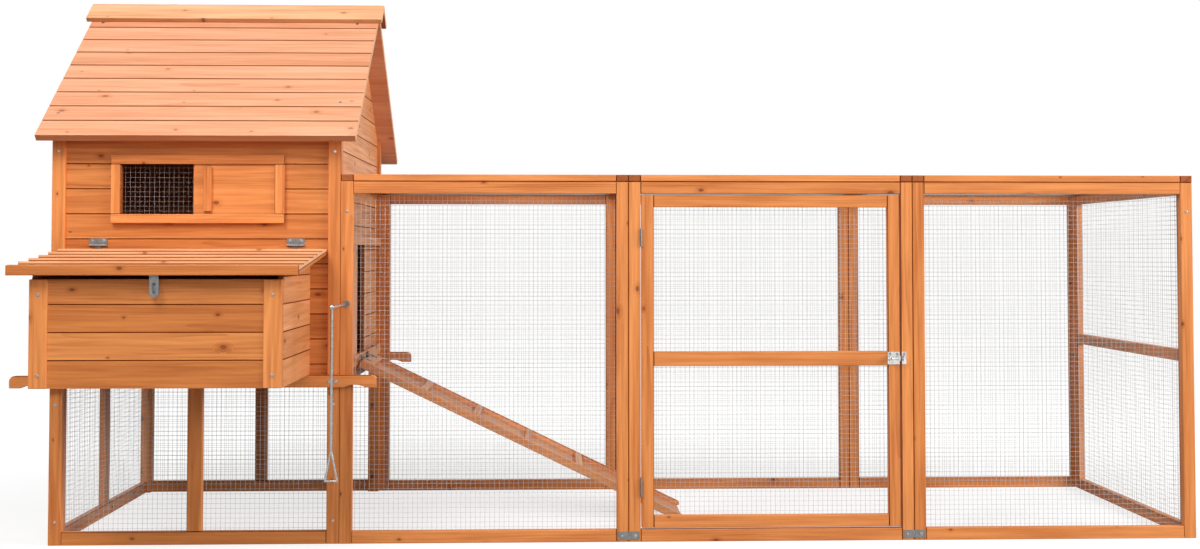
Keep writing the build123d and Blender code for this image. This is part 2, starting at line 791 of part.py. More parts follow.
ferrule = rod_y(-ferrule_thick, 0, rod_from_house, rod_level, ferrule_radius)
bore_y = (-ferrule_thick - cut_over, stile_thick + cut_over)
rod_bore = rod_y(*bore_y, rod_from_house, rod_level, rod_radius + rod_bore_play)
keep("rod_ferrule", ferrule - rod_bore)

# Hanging pull rod with a three-cornered grip
pull = rod_x(*eye_x, eye_y, rod_level, eye_radius)
rod_end = rod_level - pull_rod_length
pull += rod_z(rod_end, rod_level - tongue_radius - eye_side_gap, rod_from_house, eye_y, rod_radius)
pull -= rod_x(eye_x[0] - cut_over, eye_x[1] + cut_over, eye_y, rod_level, eye_pin_radius + pin_play)
grip_low = rod_end - pull_loop_length
corners = [
    Vector(rod_from_house, eye_y, rod_end),
    Vector(rod_from_house + pull_loop_width / 2, eye_y, grip_low),
    Vector(rod_from_house - pull_loop_width / 2, eye_y, grip_low),
]
for start, end in zip(corners, corners[1:] + corners[:1]):
    span = end - start
    pull += Plane(origin=(start + end) * 0.5, z_dir=span) * Cylinder(pull_loop_wire, span.length)
    pull += Pos(start) * Sphere(pull_loop_wire)
keep("pull_rod", pull)

# Ramp, hinged on the lower guide
ramp_axis_x = groove_x + guide_lip + leaf_thick + knuckle_radius - knuckle_sink
ramp_axis_z = panel_z[0] + ramp_hinge_above_panel
toe_run = ramp_reach - ramp_axis_x
toe_drop = ramp_axis_z - ramp_toe
ramp_angle = atan2(toe_drop, toe_run) - asin(knuckle_radius / hypot(toe_run, toe_drop))
down = Vector(cos(ramp_angle), 0, -sin(ramp_angle))
normal = Vector(sin(ramp_angle), 0, cos(ramp_angle))
ramp_foot = Vector(ramp_axis_x, 0, ramp_axis_z) - normal * knuckle_radius


def on_ramp(distance, height):
    """(x, z) at a distance down the ramp's upper face and a height square to it."""
    place = ramp_foot + down * distance + normal * height
    return place.X, place.Z


under_start = on_ramp(ramp_top_gap, -ramp_thick)
under_ground = under_start[0] + under_start[1] / tan(ramp_angle)
ramp_toe_top = (ramp_reach, ramp_toe)
ramp_toe_low = (ramp_reach, 0)
ramp_profile = [on_ramp(ramp_top_gap, 0), ramp_toe_top, ramp_toe_low, (under_ground, 0), under_start]
ramp_y = (ridge_y - ramp_width / 2, ridge_y + ramp_width / 2)
between_rails_y = (ramp_y[0] + ramp_rail_width, ramp_y[1] - ramp_rail_width)
board_level = ramp_board_thick - ramp_thick
board_top_start = on_ramp(ramp_top_gap, board_level)
board_top_end = board_top_start[0] + board_top_start[1] / tan(ramp_angle)
board_profile = [board_top_start, (board_top_end, 0), (under_ground, 0), under_start]
head_end = ramp_top_gap + ramp_head_length
head = [(ramp_top_gap, 0), (head_end, 0), (head_end, board_level), (ramp_top_gap, board_level)]
keep(
    "ramp_planks",
    along_y(ramp_profile, ramp_y[0], between_rails_y[0]),
    along_y(ramp_profile, between_rails_y[1], ramp_y[1]),
    along_y(board_profile, *between_rails_y),
    along_y([on_ramp(*p) for p in head], *between_rails_y),
)
cleats = []
for row in range(cleat_count):
    start = cleat_first + row * cleat_pitch
    end = start + cleat_width
    cleat_top = board_level + cleat_thick
    outline = [(start, board_level), (end, board_level), (end, cleat_top), (start, cleat_top)]
    cleats.append(along_y([on_ramp(*p) for p in outline], *between_rails_y))
keep("ramp_cleats", *cleats)
ramp_fixed, ramp_moving = [], []
for side in (-1, 1):
    centre = ridge_y + side * ramp_hinge_from_centre
    ends = (centre - ramp_hinge_width / 2, centre + ramp_hinge_width / 2)
    first, middle, last = thirds(*ends)
    axis = (ramp_axis_x, ramp_axis_z)
    plate_face = (groove_x + guide_lip, groove_x + guide_lip + leaf_thick)
    fixed = bar(*plate_face, *ends, low_guide_base, ramp_axis_z - knuckle_radius - leaf_relief)
    for part in (first, last):
        fixed += rod_y(*part, *axis, knuckle_radius)
        fixed += bar(*plate_face, *part, low_guide_base, ramp_axis_z)
    bore_y = (ends[0] - cut_over, ends[1] + cut_over)
    fixed -= rod_y(*bore_y, *axis, pin_radius)
    leaf_end = ramp_top_gap + ramp_hinge_leaf
    leaf = [(0, 0), (leaf_end, 0), (leaf_end, leaf_thick), (0, leaf_thick)]
    moving = along_y([on_ramp(*p) for p in leaf], *middle) + rod_y(*middle, *axis, knuckle_radius)
    moving -= rod_y(*bore_y, *axis, pin_radius + pin_play)
    ramp_fixed.append(fixed)
    ramp_moving.append(moving)
    pins.append(rod_y(*ends, *axis, pin_radius))
keep("ramp_hinge_wall_leaves", *ramp_fixed)
keep("ramp_hinge_ramp_leaves", *ramp_moving)

# Pen below the house: ground rails, mullions and wire on three sides
pen_top = rail_level
front_ground = bar(*between_posts_x, 0, stile_thick, 0, pen_rail_height)
mullion_x = (house_mid - pen_mullion / 2, house_mid + pen_mullion / 2)
mullion_y = (ridge_y - pen_mullion / 2, ridge_y + pen_mullion / 2)
mullion_z = (pen_rail_height, pen_top)
front_mullion = bar(*mullion_x, 0, stile_thick, *mullion_z)
pen_left_x = (house_left, house_left + stile_thick)
left_ground = bar(*pen_left_x, *between_posts_y, 0, pen_rail_height)
left_mullion = bar(*pen_left_x, *mullion_y, *mullion_z)
keep(
    "pen_frame",
    front_ground,
    front_mullion,
    mirror_depth(front_ground),
    mirror_depth(front_mullion),
    left_ground,
    left_mullion,
)
net_z = (pen_rail_height - net_lap, pen_top)
pen_front_net = net_front(*between_posts_x, *net_z, stile_thick)
pen_left_net = net_side(*between_posts_y, *net_z, pen_left_x[1])
pen_back_net = [mirror_depth(wire) for wire in pen_front_net]
keep("pen_mesh", *pen_front_net, *pen_back_net, *pen_left_net)

# Run walls
bays = [(i * bay_width, (i + 1) * bay_width) for i in range(bay_count)]
door_bay = bay_count // 2
lap_in = stile_width - net_lap
front_frames, front_nets, back_frames, back_nets = [], [], [], []
for number, (x0, x1) in enumerate(bays):
    net_x = (x0 + lap_in, x1 - lap_in)
    net_height = (lap_in, run_wall_height - lap_in)
    frame = frame_front(x0, x1, 0, run_wall_height)
    back_frames += [mirror_depth(s) for s in frame]
    back_nets += [mirror_depth(wire) for wire in net_front(*net_x, *net_height, stile_thick)]
    if number == 0:
        frame[0] -= rod_bore
    if number == door_bay:
        keep("run_door_surround", *frame)
    else:
        front_frames += frame
        front_nets += net_front(*net_x, *net_height, stile_thick)
keep("run_front_frames", *front_frames)
keep("run_front_mesh", *front_nets)
keep("run_back_frames", *back_frames)
keep("run_back_mesh", *back_nets)

end_x = (run_right - stile_thick, run_right)
end_y = (stile_thick, depth - stile_thick)
end_rails_y = (end_y[0] + stile_width, end_y[1] - stile_width)
keep(
    "run_end_frame",
    bar(*end_x, end_y[0], end_rails_y[0], 0, run_wall_height),
    bar(*end_x, end_rails_y[1], end_y[1], 0, run_wall_height),
    bar(*end_x, *end_rails_y, 0, stile_width),
    bar(*end_x, *end_rails_y, end_mid_rail_level, end_mid_rail_level + stile_width),
    bar(*end_x, *end_rails_y, run_wall_height - stile_width, run_wall_height),
)
end_net_y = (end_rails_y[0] - net_lap, end_rails_y[1] + net_lap)
keep("run_end_mesh", *net_side(*end_net_y, lap_in, run_wall_height - lap_in, end_x[0] - net_thick))

roof_frames, roof_nets = [], []
roof_z = (run_wall_height, run_wall_height + roof_frame_thick)
for x0, x1 in bays:
    inner_x = (x0 + stile_width, x1 - stile_width)
    roof_frames += [
        bar(x0, inner_x[0], 0, depth, *roof_z),
        bar(inner_x[1], x1, 0, depth, *roof_z),
        bar(*inner_x, 0, stile_width, *roof_z),
        bar(*inner_x, depth - stile_width, depth, *roof_z),
    ]
    roof_nets += net_flat(x0 + lap_in, x1 - lap_in, lap_in, depth - lap_in, run_wall_height - net_thick)
keep("run_roof_frames", *roof_frames)
keep("run_roof_mesh", *roof_nets)

# Run door
door_bay_x = bays[door_bay]
door_x = (door_bay_x[0] + stile_width + run_door_gap, door_bay_x[1] - stile_width - run_door_gap)
door_z = (stile_width + run_door_lift, run_wall_height - stile_width - run_door_lift)
door_in_x = (door_x[0] + stile_width, door_x[1] - stile_width)
keep(
    "run_door_frame",
    bar(door_x[0], door_in_x[0], 0, stile_thick, *door_z),
    bar(door_in_x[1], door_x[1], 0, stile_thick, *door_z),
    bar(*door_in_x, 0, stile_thick, door_z[0], door_z[0] + stile_width),
    bar(*door_in_x, 0, stile_thick, run_door_mid_level, run_door_mid_level + run_door_mid_rail),
    bar(*door_in_x, 0, stile_thick, door_z[1] - stile_width, door_z[1]),
)
door_net_z = (door_z[0] + lap_in, door_z[1] - lap_in)
keep("run_door_mesh", *net_front(door_x[0] + lap_in, door_x[1] - lap_in, *door_net_z, stile_thick))

butt_axis_x = door_x[0] - run_door_gap / 2
butt_axis_y = -knuckle_radius
fixed_face = (door_x[0] - run_door_gap, door_x[0] - run_door_gap + butt_leaf_thick)
moving_face = (door_x[0] - butt_leaf_thick, door_x[0])
butt_fixed, butt_moving = [], []
for level in (butt_low_level, butt_top_level):
    ends = (level, level + butt_height)
    first, middle, last = thirds(*ends)
    axis = (butt_axis_x, butt_axis_y)
    fixed = bar(*fixed_face, leaf_relief, butt_leaf, *ends)
    for part in (first, last):
        fixed += rod_z(*part, *axis, knuckle_radius)
        fixed += bar(*fixed_face, butt_axis_y, butt_leaf, *part)
    bore_z = (ends[0] - cut_over, ends[1] + cut_over)
    fixed -= rod_z(*bore_z, *axis, pin_radius)
    moving = bar(*moving_face, leaf_relief, butt_leaf, *ends)
    moving += rod_z(*middle, *axis, knuckle_radius)
    moving += bar(*moving_face, butt_axis_y, butt_leaf, *middle)
    moving -= rod_z(*bore_z, *axis, pin_radius + pin_play)
    butt_fixed.append(fixed)
    butt_moving.append(moving)
    pins.append(rod_z(*ends, *axis, pin_radius))
keep("door_hinge_post_leaves", *butt_fixed)
keep("door_hinge_door_leaves", *butt_moving)
keep("hinge_pins", *pins)

# Bolt on the door and its keeper on the surround
stem_room = bolt_travel + 2 * (bolt_stem + bolt_end_gap)
bolt_plate_width = 2 * bolt_guide + stem_room + bolt_plate_margin + bolt_end_gap
bolt_plate_end = door_x[1] - bolt_plate_margin
bolt_plate_x = (bolt_plate_end - bolt_plate_width, bolt_plate_end)
bolt_y = -bolt_standoff
bolt_low = bolt_level - bolt_plate_height / 2
bolt_tip = door_x[1] - bolt_end_gap
bolt_body = bar(*bolt_plate_x, -plate_metal, 0, bolt_low, bolt_low + bolt_plate_height)
bolt_bore = bolt_radius + bolt_play
guide_half = bolt_bore + bolt_guide_wall
guide_front = bolt_y - guide_half
guide_z = (bolt_level - guide_half, bolt_level + guide_half)
first_guide = bolt_plate_x[0] + bolt_plate_margin
second_guide = first_guide + bolt_guide + stem_room
for x0 in (first_guide, second_guide):
    bolt_body += bar(x0, x0 + bolt_guide, guide_front, 0, *guide_z)
bolt_body -= rod_x(bolt_plate_x[0] - cut_over, bolt_plate_x[1] + cut_over, bolt_y, bolt_level, bolt_bore)
keep("bolt_body", bolt_body)
stem_x = first_guide + bolt_guide + bolt_end_gap + bolt_stem
bolt = rod_x(bolt_plate_x[0] - bolt_plate_margin, bolt_tip, bolt_y, bolt_level, bolt_radius)
stem_end = bolt_y - bolt_radius - bolt_stem_length
bolt += rod_y(stem_end, bolt_y, stem_x, bolt_level, bolt_stem)
bolt += Pos(stem_x, stem_end, bolt_level) * Sphere(bolt_knob)
keep("bolt_rod", bolt)
keeper_x = door_bay_x[1] - stile_width + bolt_end_gap
keeper_loop_x = (keeper_x + bolt_end_gap, keeper_x + bolt_end_gap + bolt_guide)
keeper_end = keeper_loop_x[1] + bolt_guide + bolt_end_gap
keeper = bar(keeper_x, keeper_end, -plate_metal, 0, bolt_low, bolt_low + bolt_plate_height)
keeper += bar(*keeper_loop_x, guide_front, 0, *guide_z)
keeper -= rod_x(keeper_x - cut_over, keeper_end + cut_over, bolt_y, bolt_level, bolt_bore)
keep("bolt_keeper", keeper)

# Joining plates across the bay joints and the screw heads that show
plates = []
for x0, _ in bays[1:]:
    half = joining_plate_width / 2
    low = joining_plate_level
    plates.append(bar(x0 - half, x0 + half, -plate_metal, 0, low, low + joining_plate_height))
keep("joining_plates", *plates)

post_screw_levels = (
    post_screw_foot,
    rail_level - post_screw_below_rail,
    plate_level - post_screw_below_plate,
)
rail_face = (-rail_thick - screw_head, -rail_thick)
rail_middle = rail_level + rail_height / 2
screws = []
for x0 in (house_left + post_side / 2, -post_side / 2):
    for z in post_screw_levels:
        screws.append(rod_y(-screw_head, 0, x0, z, screw_radius))
    for side in (-1, 1):
        screws.append(rod_y(*rail_face, x0 + side * rail_screw_spread / 2, rail_middle, screw_radius))
for x0 in (stile_width / 2, run_right - stile_width / 2):
    screws.append(rod_y(-screw_head, 0, x0, run_wall_height - run_screw_below_top, screw_radius))
for x0 in (nest_x[0] + nest_post_width / 2, nest_x[1] - nest_post_width / 2):
    for z in (floor_level + nest_screw_foot, nest_top - nest_screw_below_top):
        screws.append(rod_y(nest_front - screw_head, nest_front, x0, z, screw_radius))
keep("frame_screws", *screws)

for name, solids in nodes.items():
    shape = solids[0] if len(solids) == 1 else Compound(children=list(solids))
    export_step(shape, f"parts/{name}.step")

print("nodes", len(nodes), "origin shift", round(origin_x, 3), round(origin_y, 3))
print("lid hinge", lid_axis_y, lid_hinge_level, "hasp", hasp_axis_y, hasp_axis_z)
print("pop door travel", panel_travel, "eye", rod_from_house, eye_y, rod_level)
print("ramp hinge", ramp_axis_x, ramp_axis_z, "angle", degrees(ramp_angle))
print("run door hinge", butt_axis_x, butt_axis_y, "bolt tip", bolt_tip, "keeper", keeper_x)
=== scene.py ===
# %% [markdown]
# # A timber hen house with a wire run
#
# The real object is a garden hen house of honey-stained fir, raised on posts, with a nest box in front and a
# long run of wire-covered frames beside it. This lesson dresses the plain solids of that construction: every
# timber gets eased edges and its own grain, the boarded walls come apart into boards, the wire is drawn wire
# by wire, and the small hardware gets screws and a plated finish.
#
# We start by loading the solids. They give every size and place, so nothing here has to be measured again.

# %% Load the solids
import json
import math
import random
from collections import Counter

import bmesh
import bpy
from mathutils import Matrix, Vector
from mathutils.bvhtree import BVHTree


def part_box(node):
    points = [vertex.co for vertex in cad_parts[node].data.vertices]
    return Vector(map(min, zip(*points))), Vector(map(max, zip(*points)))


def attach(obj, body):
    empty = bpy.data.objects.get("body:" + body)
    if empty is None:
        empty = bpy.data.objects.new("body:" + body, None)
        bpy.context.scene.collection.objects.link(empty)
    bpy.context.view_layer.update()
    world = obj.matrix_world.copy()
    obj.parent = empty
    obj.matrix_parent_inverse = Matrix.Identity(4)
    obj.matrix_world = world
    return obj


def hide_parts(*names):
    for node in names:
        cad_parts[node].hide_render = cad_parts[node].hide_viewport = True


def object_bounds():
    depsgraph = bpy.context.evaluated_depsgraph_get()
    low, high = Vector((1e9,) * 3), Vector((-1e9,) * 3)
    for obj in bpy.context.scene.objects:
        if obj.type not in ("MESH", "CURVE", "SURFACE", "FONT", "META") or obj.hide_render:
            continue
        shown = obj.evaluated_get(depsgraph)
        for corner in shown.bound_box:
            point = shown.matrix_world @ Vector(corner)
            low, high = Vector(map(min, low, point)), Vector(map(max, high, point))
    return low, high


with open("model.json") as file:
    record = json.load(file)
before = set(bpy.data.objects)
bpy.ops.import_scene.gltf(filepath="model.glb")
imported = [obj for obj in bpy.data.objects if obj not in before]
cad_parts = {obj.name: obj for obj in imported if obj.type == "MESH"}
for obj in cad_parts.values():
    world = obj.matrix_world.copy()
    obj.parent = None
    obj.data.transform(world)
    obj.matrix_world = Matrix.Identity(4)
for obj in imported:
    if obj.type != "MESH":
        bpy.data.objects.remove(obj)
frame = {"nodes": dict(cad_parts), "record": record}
solid_low, solid_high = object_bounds()
middle = (solid_low + solid_high) / 2
record = frame["record"]
body_of = {node: body for body, nodes in record["behaviour"]["bodies"].items() for node in nodes}
SEED = 41
chance = random.Random(SEED)
print("solids loaded:", len(frame["nodes"]), "nodes, size", [round(s, 3) for s in solid_high - solid_low])

# %% [markdown]
# ## Camera
#
# The viewpoint was worked out from the picture's own perspective: level lines of the frames meet at a point,
# and the half-inch wire gives the scale. A camera with a moderate lens stands about 3.6 m in front of the
# frames, three quarters of a metre above the ground. Its frame is shifted a little, as in a cropped picture,
# which keeps the uprights upright.

# %% Camera
PHOTO_WIDTH = 1200
FOCAL_PIXELS = 1359.0
CENTRE_ABOVE_MIDDLE = 62.3
SENSOR = 36.0
CAMERA_PLACE = (-0.1434, -3.851, 0.7602)
CAMERA_TILT = 91.746
CAMERA_TURN = -1.811
SIGHT = 100.0

bpy.ops.object.select_all(action="DESELECT")
camera_turn = (math.radians(CAMERA_TILT), 0, math.radians(CAMERA_TURN))
bpy.ops.object.camera_add(location=CAMERA_PLACE, rotation=camera_turn)
camera = bpy.context.object
camera.name = "viewpoint"
camera.data.sensor_width = SENSOR
camera.data.lens = FOCAL_PIXELS / PHOTO_WIDTH * SENSOR
camera.data.shift_y = -CENTRE_ABOVE_MIDDLE / PHOTO_WIDTH
camera.data.clip_end = SIGHT
bpy.context.scene.camera = camera
print("camera lens", round(camera.data.lens, 2), "mm")

# %% [markdown]
# ## Stage and light
#
# A pale floor and a white surround stand in for a studio. The floor glows for the camera alone, and more so
# away from the coop: it reads as white, its far edge melts into the surround, and it still takes the soft
# shadow. A material is a network of nodes, so a few helpers come first: one adds a node, one joins two
# sockets or sets a value, and three do sums on numbers, vectors and ranges.

# %% White paper
FLOOR_WHITE = 0.31
FLOOR_GLOW = (0.75, 0.92)
GLOW_SCALE = (0.6, 1.2, 0)
GLOW_REACH = (1.0, 2.2)
PAPER_ROUGHNESS = 0.9
PAPER_SHEEN = 0.1
WHITE = (1, 1, 1, 1)


def new_material(name):
    material = bpy.data.materials.new(name)
    material.use_nodes = True
    return material, material.node_tree, material.node_tree.nodes["Principled BSDF"]


def add(tree, kind, **settings):
    made = tree.nodes.new(kind)
    for key, value in settings.items():
        setattr(made, key, value)
    return made


def plug(tree, value, socket):
    """Joins a socket to another one, or sets a plain number or colour on it."""
    if isinstance(value, bpy.types.NodeSocket):
        tree.links.new(value, socket)
    else:
        socket.default_value = value


def calc(tree, operation, first, second=0.0):
    made = add(tree, "ShaderNodeMath", operation=operation)
    plug(tree, first, made.inputs[0])
    plug(tree, second, made.inputs[1])
    return made.outputs[0]


def vector(tree, operation, first, second=(0, 0, 0)):
    made = add(tree, "ShaderNodeVectorMath", operation=operation)
    plug(tree, first, made.inputs[0])
    plug(tree, second, made.inputs[1])
    return made.outputs["Value"] if operation == "LENGTH" else made.outputs["Vector"]


def spread(tree, value, low, high, to_low, to_high, way="SMOOTHSTEP"):
    """Maps a value from one range to another, and stops at its ends."""
    made = add(tree, "ShaderNodeMapRange", interpolation_type=way)
    for socket, number in zip(made.inputs[:5], (value, low, high, to_low, to_high)):
        plug(tree, number, socket)
    return made.outputs[0]


def seen_directly(tree):
    """1 for rays that show the background itself: to the camera, in metal or through glass."""
    path = add(tree, "ShaderNodeLightPath")
    either = calc(tree, "MAXIMUM", path.outputs["Is Camera Ray"], path.outputs["Is Glossy Ray"])
    return calc(tree, "MAXIMUM", either, path.outputs["Is Transmission Ray"])


floor_paper, tree, shader = new_material("studio paper")
shader.inputs["Base Color"].default_value = (FLOOR_WHITE, FLOOR_WHITE, FLOOR_WHITE, 1)
shader.inputs["Roughness"].default_value = PAPER_ROUGHNESS
shader.inputs["Specular IOR Level"].default_value = PAPER_SHEEN
shader.inputs["Emission Color"].default_value = WHITE
place = add(tree, "ShaderNodeTexCoord").outputs["Object"]
away = vector(tree, "LENGTH", vector(tree, "MULTIPLY", place, GLOW_SCALE))
glow = spread(tree, away, *GLOW_REACH, *FLOOR_GLOW, "LINEAR")
plug(tree, calc(tree, "MULTIPLY", seen_directly(tree), glow), shader.inputs["Emission Strength"])
print("studio paper made of", len(tree.nodes), "nodes")

# %% Stage
FLOOR_SIDE = 40.0
FLOOR_SINK = 0.001

bpy.ops.mesh.primitive_grid_add(
    x_subdivisions=2, y_subdivisions=2, size=FLOOR_SIDE, location=(0, 0, -FLOOR_SINK)
)
floor = bpy.context.object
floor.name = "studio_floor"
floor.data.materials.append(floor_paper)
print("floor", FLOOR_SIDE, "m wide")

# %% [markdown]
# The main soft box hangs high in front of the house, so that the house and its nest box shade the pen below
# them. A wide one on the right lights the gable and the nest box's side, and a weak one in front fills the
# rest. The surround shows as white but gives little light, because a bright one would wash out the shadows.

# %% Light
SURROUND_LIGHT = 0.13
AIM = Vector((0, 0.1, 0.55))
# Name, place, width and height, watts
SOFT_BOXES = (
    ("key_box", (-1.8, -2.5, 3.4), (1.2, 1.7), 102),
    ("right_box", (5.4, -2.4, 2.6), (3.4, 2.6), 325),
    ("front_box", (0.2, -4.3, 2.2), (3.2, 1.8), 43),
)

world = bpy.data.worlds.new("studio surround")
bpy.context.scene.world = world
world.use_nodes = True
tree = world.node_tree
background = tree.nodes["Background"]
background.inputs["Color"].default_value = WHITE
level = spread(tree, seen_directly(tree), 0, 1, SURROUND_LIGHT, 1, "LINEAR")
plug(tree, level, background.inputs["Strength"])

for name, place, size, power in SOFT_BOXES:
    facing = (Vector(place) - AIM).to_track_quat("Z", "Y").to_euler()
    bpy.ops.object.light_add(type="AREA", location=place, rotation=facing)
    lamp = bpy.context.object
    lamp.name = name
    lamp.data.shape = "RECTANGLE"
    lamp.data.size, lamp.data.size_y = size
    lamp.data.energy = power
bpy.context.scene.view_settings.view_transform = "Standard"
print("stage and", len(SOFT_BOXES), "soft boxes in place")

# %% [markdown]
# ## Stained fir
#
# The timber is softwood under an orange, half-transparent stain. What one sees is broad bands of redder and
# paler wood along each board, fine streaks, arched growth rings, and a knot here and there that the rings
# bend round. A picture of wood would repeat. Instead, each board carries its own coordinates in an attribute
# called grain (metres along, across and through the board), and the rings are worked out from them, so that
# the pattern runs along every timber whichever way it lies. Three more attributes say which faces are sawn
# ends, how light or dark the board is, and which faces are darkened: for the stain gathered in joints, and as
# painted shade in joints, grooves and under downward edges.

# %% Noise, knots and growth rings
MM = 1000
CLOUD_ROUGHNESS = 0.55
RING_SPACING = 0.0052
RING_SHARPNESS = 2.2
RING_WANDER = 0.030
WANDER_CLOUDS = ((1.3, 7, 7), 2)
KNOT_CELL = (0.23, 0.062)
KNOT_SQUEEZE = 0.6
KNOT_SHARE = 0.62
KNOT_SCATTER = 0.55
KNOT_RADIUS = (0.0020, 0.0062)
KNOT_CORE = (0.55, 1.05)
KNOT_SWIRL = (0.7, 2.8)
KNOT_BEND = 0.014


def clouds(tree, place, stretch, detail):
    """Soft noise, stretched along the board."""
    made = add(tree, "ShaderNodeTexNoise")
    plug(tree, vector(tree, "MULTIPLY", place, stretch), made.inputs["Vector"])
    made.inputs["Scale"].default_value = 1.0
    made.inputs["Detail"].default_value = detail
    made.inputs["Roughness"].default_value = CLOUD_ROUGHNESS
    return made.outputs["Fac"]


def axes_of(tree, place):
    made = add(tree, "ShaderNodeSeparateXYZ")
    plug(tree, place, made.inputs[0])
    return made.outputs


def knots(tree, grain):
    """Share of knot and of the swirl round it, from points scattered along and round the timber."""
    along, across, through = axes_of(tree, grain)
    girth = calc(tree, "ADD", across, through)
    cells = add(tree, "ShaderNodeCombineXYZ")
    plug(tree, calc(tree, "DIVIDE", along, KNOT_CELL[0]), cells.inputs["X"])
    plug(tree, calc(tree, "DIVIDE", girth, KNOT_CELL[1]), cells.inputs["Y"])
    scatter = add(tree, "ShaderNodeTexVoronoi", voronoi_dimensions="2D")
    plug(tree, cells.outputs[0], scatter.inputs["Vector"])
    scatter.inputs["Scale"].default_value = 1.0
    scatter.inputs["Randomness"].default_value = KNOT_SCATTER
    away = vector(tree, "SUBTRACT", cells.outputs[0], scatter.outputs["Position"])
    oval = vector(tree, "MULTIPLY", away, (KNOT_CELL[0] * KNOT_SQUEEZE, KNOT_CELL[1], 0))
    parts = add(tree, "ShaderNodeSeparateColor")
    plug(tree, scatter.outputs["Color"], parts.inputs[0])
    present = calc(tree, "LESS_THAN", parts.outputs[0], KNOT_SHARE)
    radius = spread(tree, parts.outputs[1], 0, 1, *KNOT_RADIUS)
    edge = calc(tree, "DIVIDE", vector(tree, "LENGTH", oval), radius)
    core = calc(tree, "MULTIPLY", present, spread(tree, edge, *KNOT_CORE, 1, 0))
    swirl = calc(tree, "MULTIPLY", present, spread(tree, edge, *KNOT_SWIRL, 1, 0))
    return core, swirl


def late_wood(tree, grain, swirl):
    """The dark part of each growth ring. The rings lie round the pith, wander, and bend round knots."""
    across, through = axes_of(tree, grain)[1:]
    wander = calc(tree, "MULTIPLY", clouds(tree, grain, *WANDER_CLOUDS), RING_WANDER)
    bent = calc(tree, "ADD", wander, calc(tree, "MULTIPLY", swirl, KNOT_BEND))
    depth = calc(tree, "ADD", through, bent)
    square = calc(tree, "ADD", calc(tree, "POWER", across, 2), calc(tree, "POWER", depth, 2))
    turns = calc(tree, "DIVIDE", calc(tree, "SQRT", square), RING_SPACING)
    return calc(tree, "POWER", calc(tree, "FRACT", turns), RING_SHARPNESS)


print("growth rings every", round(RING_SPACING * MM, 1), "mm")

# %% Light and dark wood
BANDS = ((2.0, 34, 34), 3)
BAND_SHARE = (0.30, 0.72, 0.06, 0.50)
PATCHES = ((1.7, 5, 5), 2)
RING_SHARE = (0.35, 0.70, 0.10, 0.36)
STREAK_SHARE = (0.30, 0.72, -0.10, 0.24)
SWIRL_SHARE = 0.30


def dark_share(tree, grain, late, streaks, swirl):
    """How much of the darker colour shows: bands, rings in patches, fine streaks, and the swirl at knots."""
    patches = spread(tree, clouds(tree, grain, *PATCHES), *RING_SHARE)
    rings = calc(tree, "MULTIPLY", late, patches)
    share = calc(tree, "ADD", spread(tree, clouds(tree, grain, *BANDS), *BAND_SHARE), rings)
    share = calc(tree, "ADD", share, spread(tree, streaks, *STREAK_SHARE))
    return calc(tree, "ADD", share, calc(tree, "MULTIPLY", swirl, SWIRL_SHARE))


print("share of the dark colour in the bands:", BAND_SHARE[2], "to", BAND_SHARE[3])

# %% The fir finish
STREAKS = ((5.0, 110, 110), 4)
STREAK_ROUGHNESS = (0.25, 0.80)
ROUGHNESS_SPAN = (-0.06, 0.14)
KNOT_BROWN = (0.17, 0.040, 0.009, 1)
USUAL_KNOT = 0.80
USUAL_GLOSS = 0.46
BOARD_TONES = (0.86, 1.10)
TONE_BY_CHANNEL = (1.0, 1.5, 2.1)
# Darkest level of the mark on joints and edges: stain in the joints, and painted shade in joints, grooves and
# under downward edges.
DARKEST_STAIN_AND_SHADE = 0.36
SHEEN = 0.25
END_RED = (0.30, 0.070, 0.018, 1)
END_RINGS = 0.7
END_COVER = 0.82
END_ROUGHNESS = 0.8
RELIEF = 0.35
RELIEF_DEPTH = 0.0004
RING_RELIEF = 0.6
KNOT_RELIEF = 0.8


def blend_colours(tree, share, first, second, way="MIX"):
    made = add(tree, "ShaderNodeMix", data_type="RGBA", blend_type=way)
    plug(tree, share, made.inputs[0])
    plug(tree, first, made.inputs[6])
    plug(tree, second, made.inputs[7])
    return made.outputs[2]


def reading(tree, name, output="Fac"):
    return add(tree, "ShaderNodeAttribute", attribute_name=name).outputs[output]


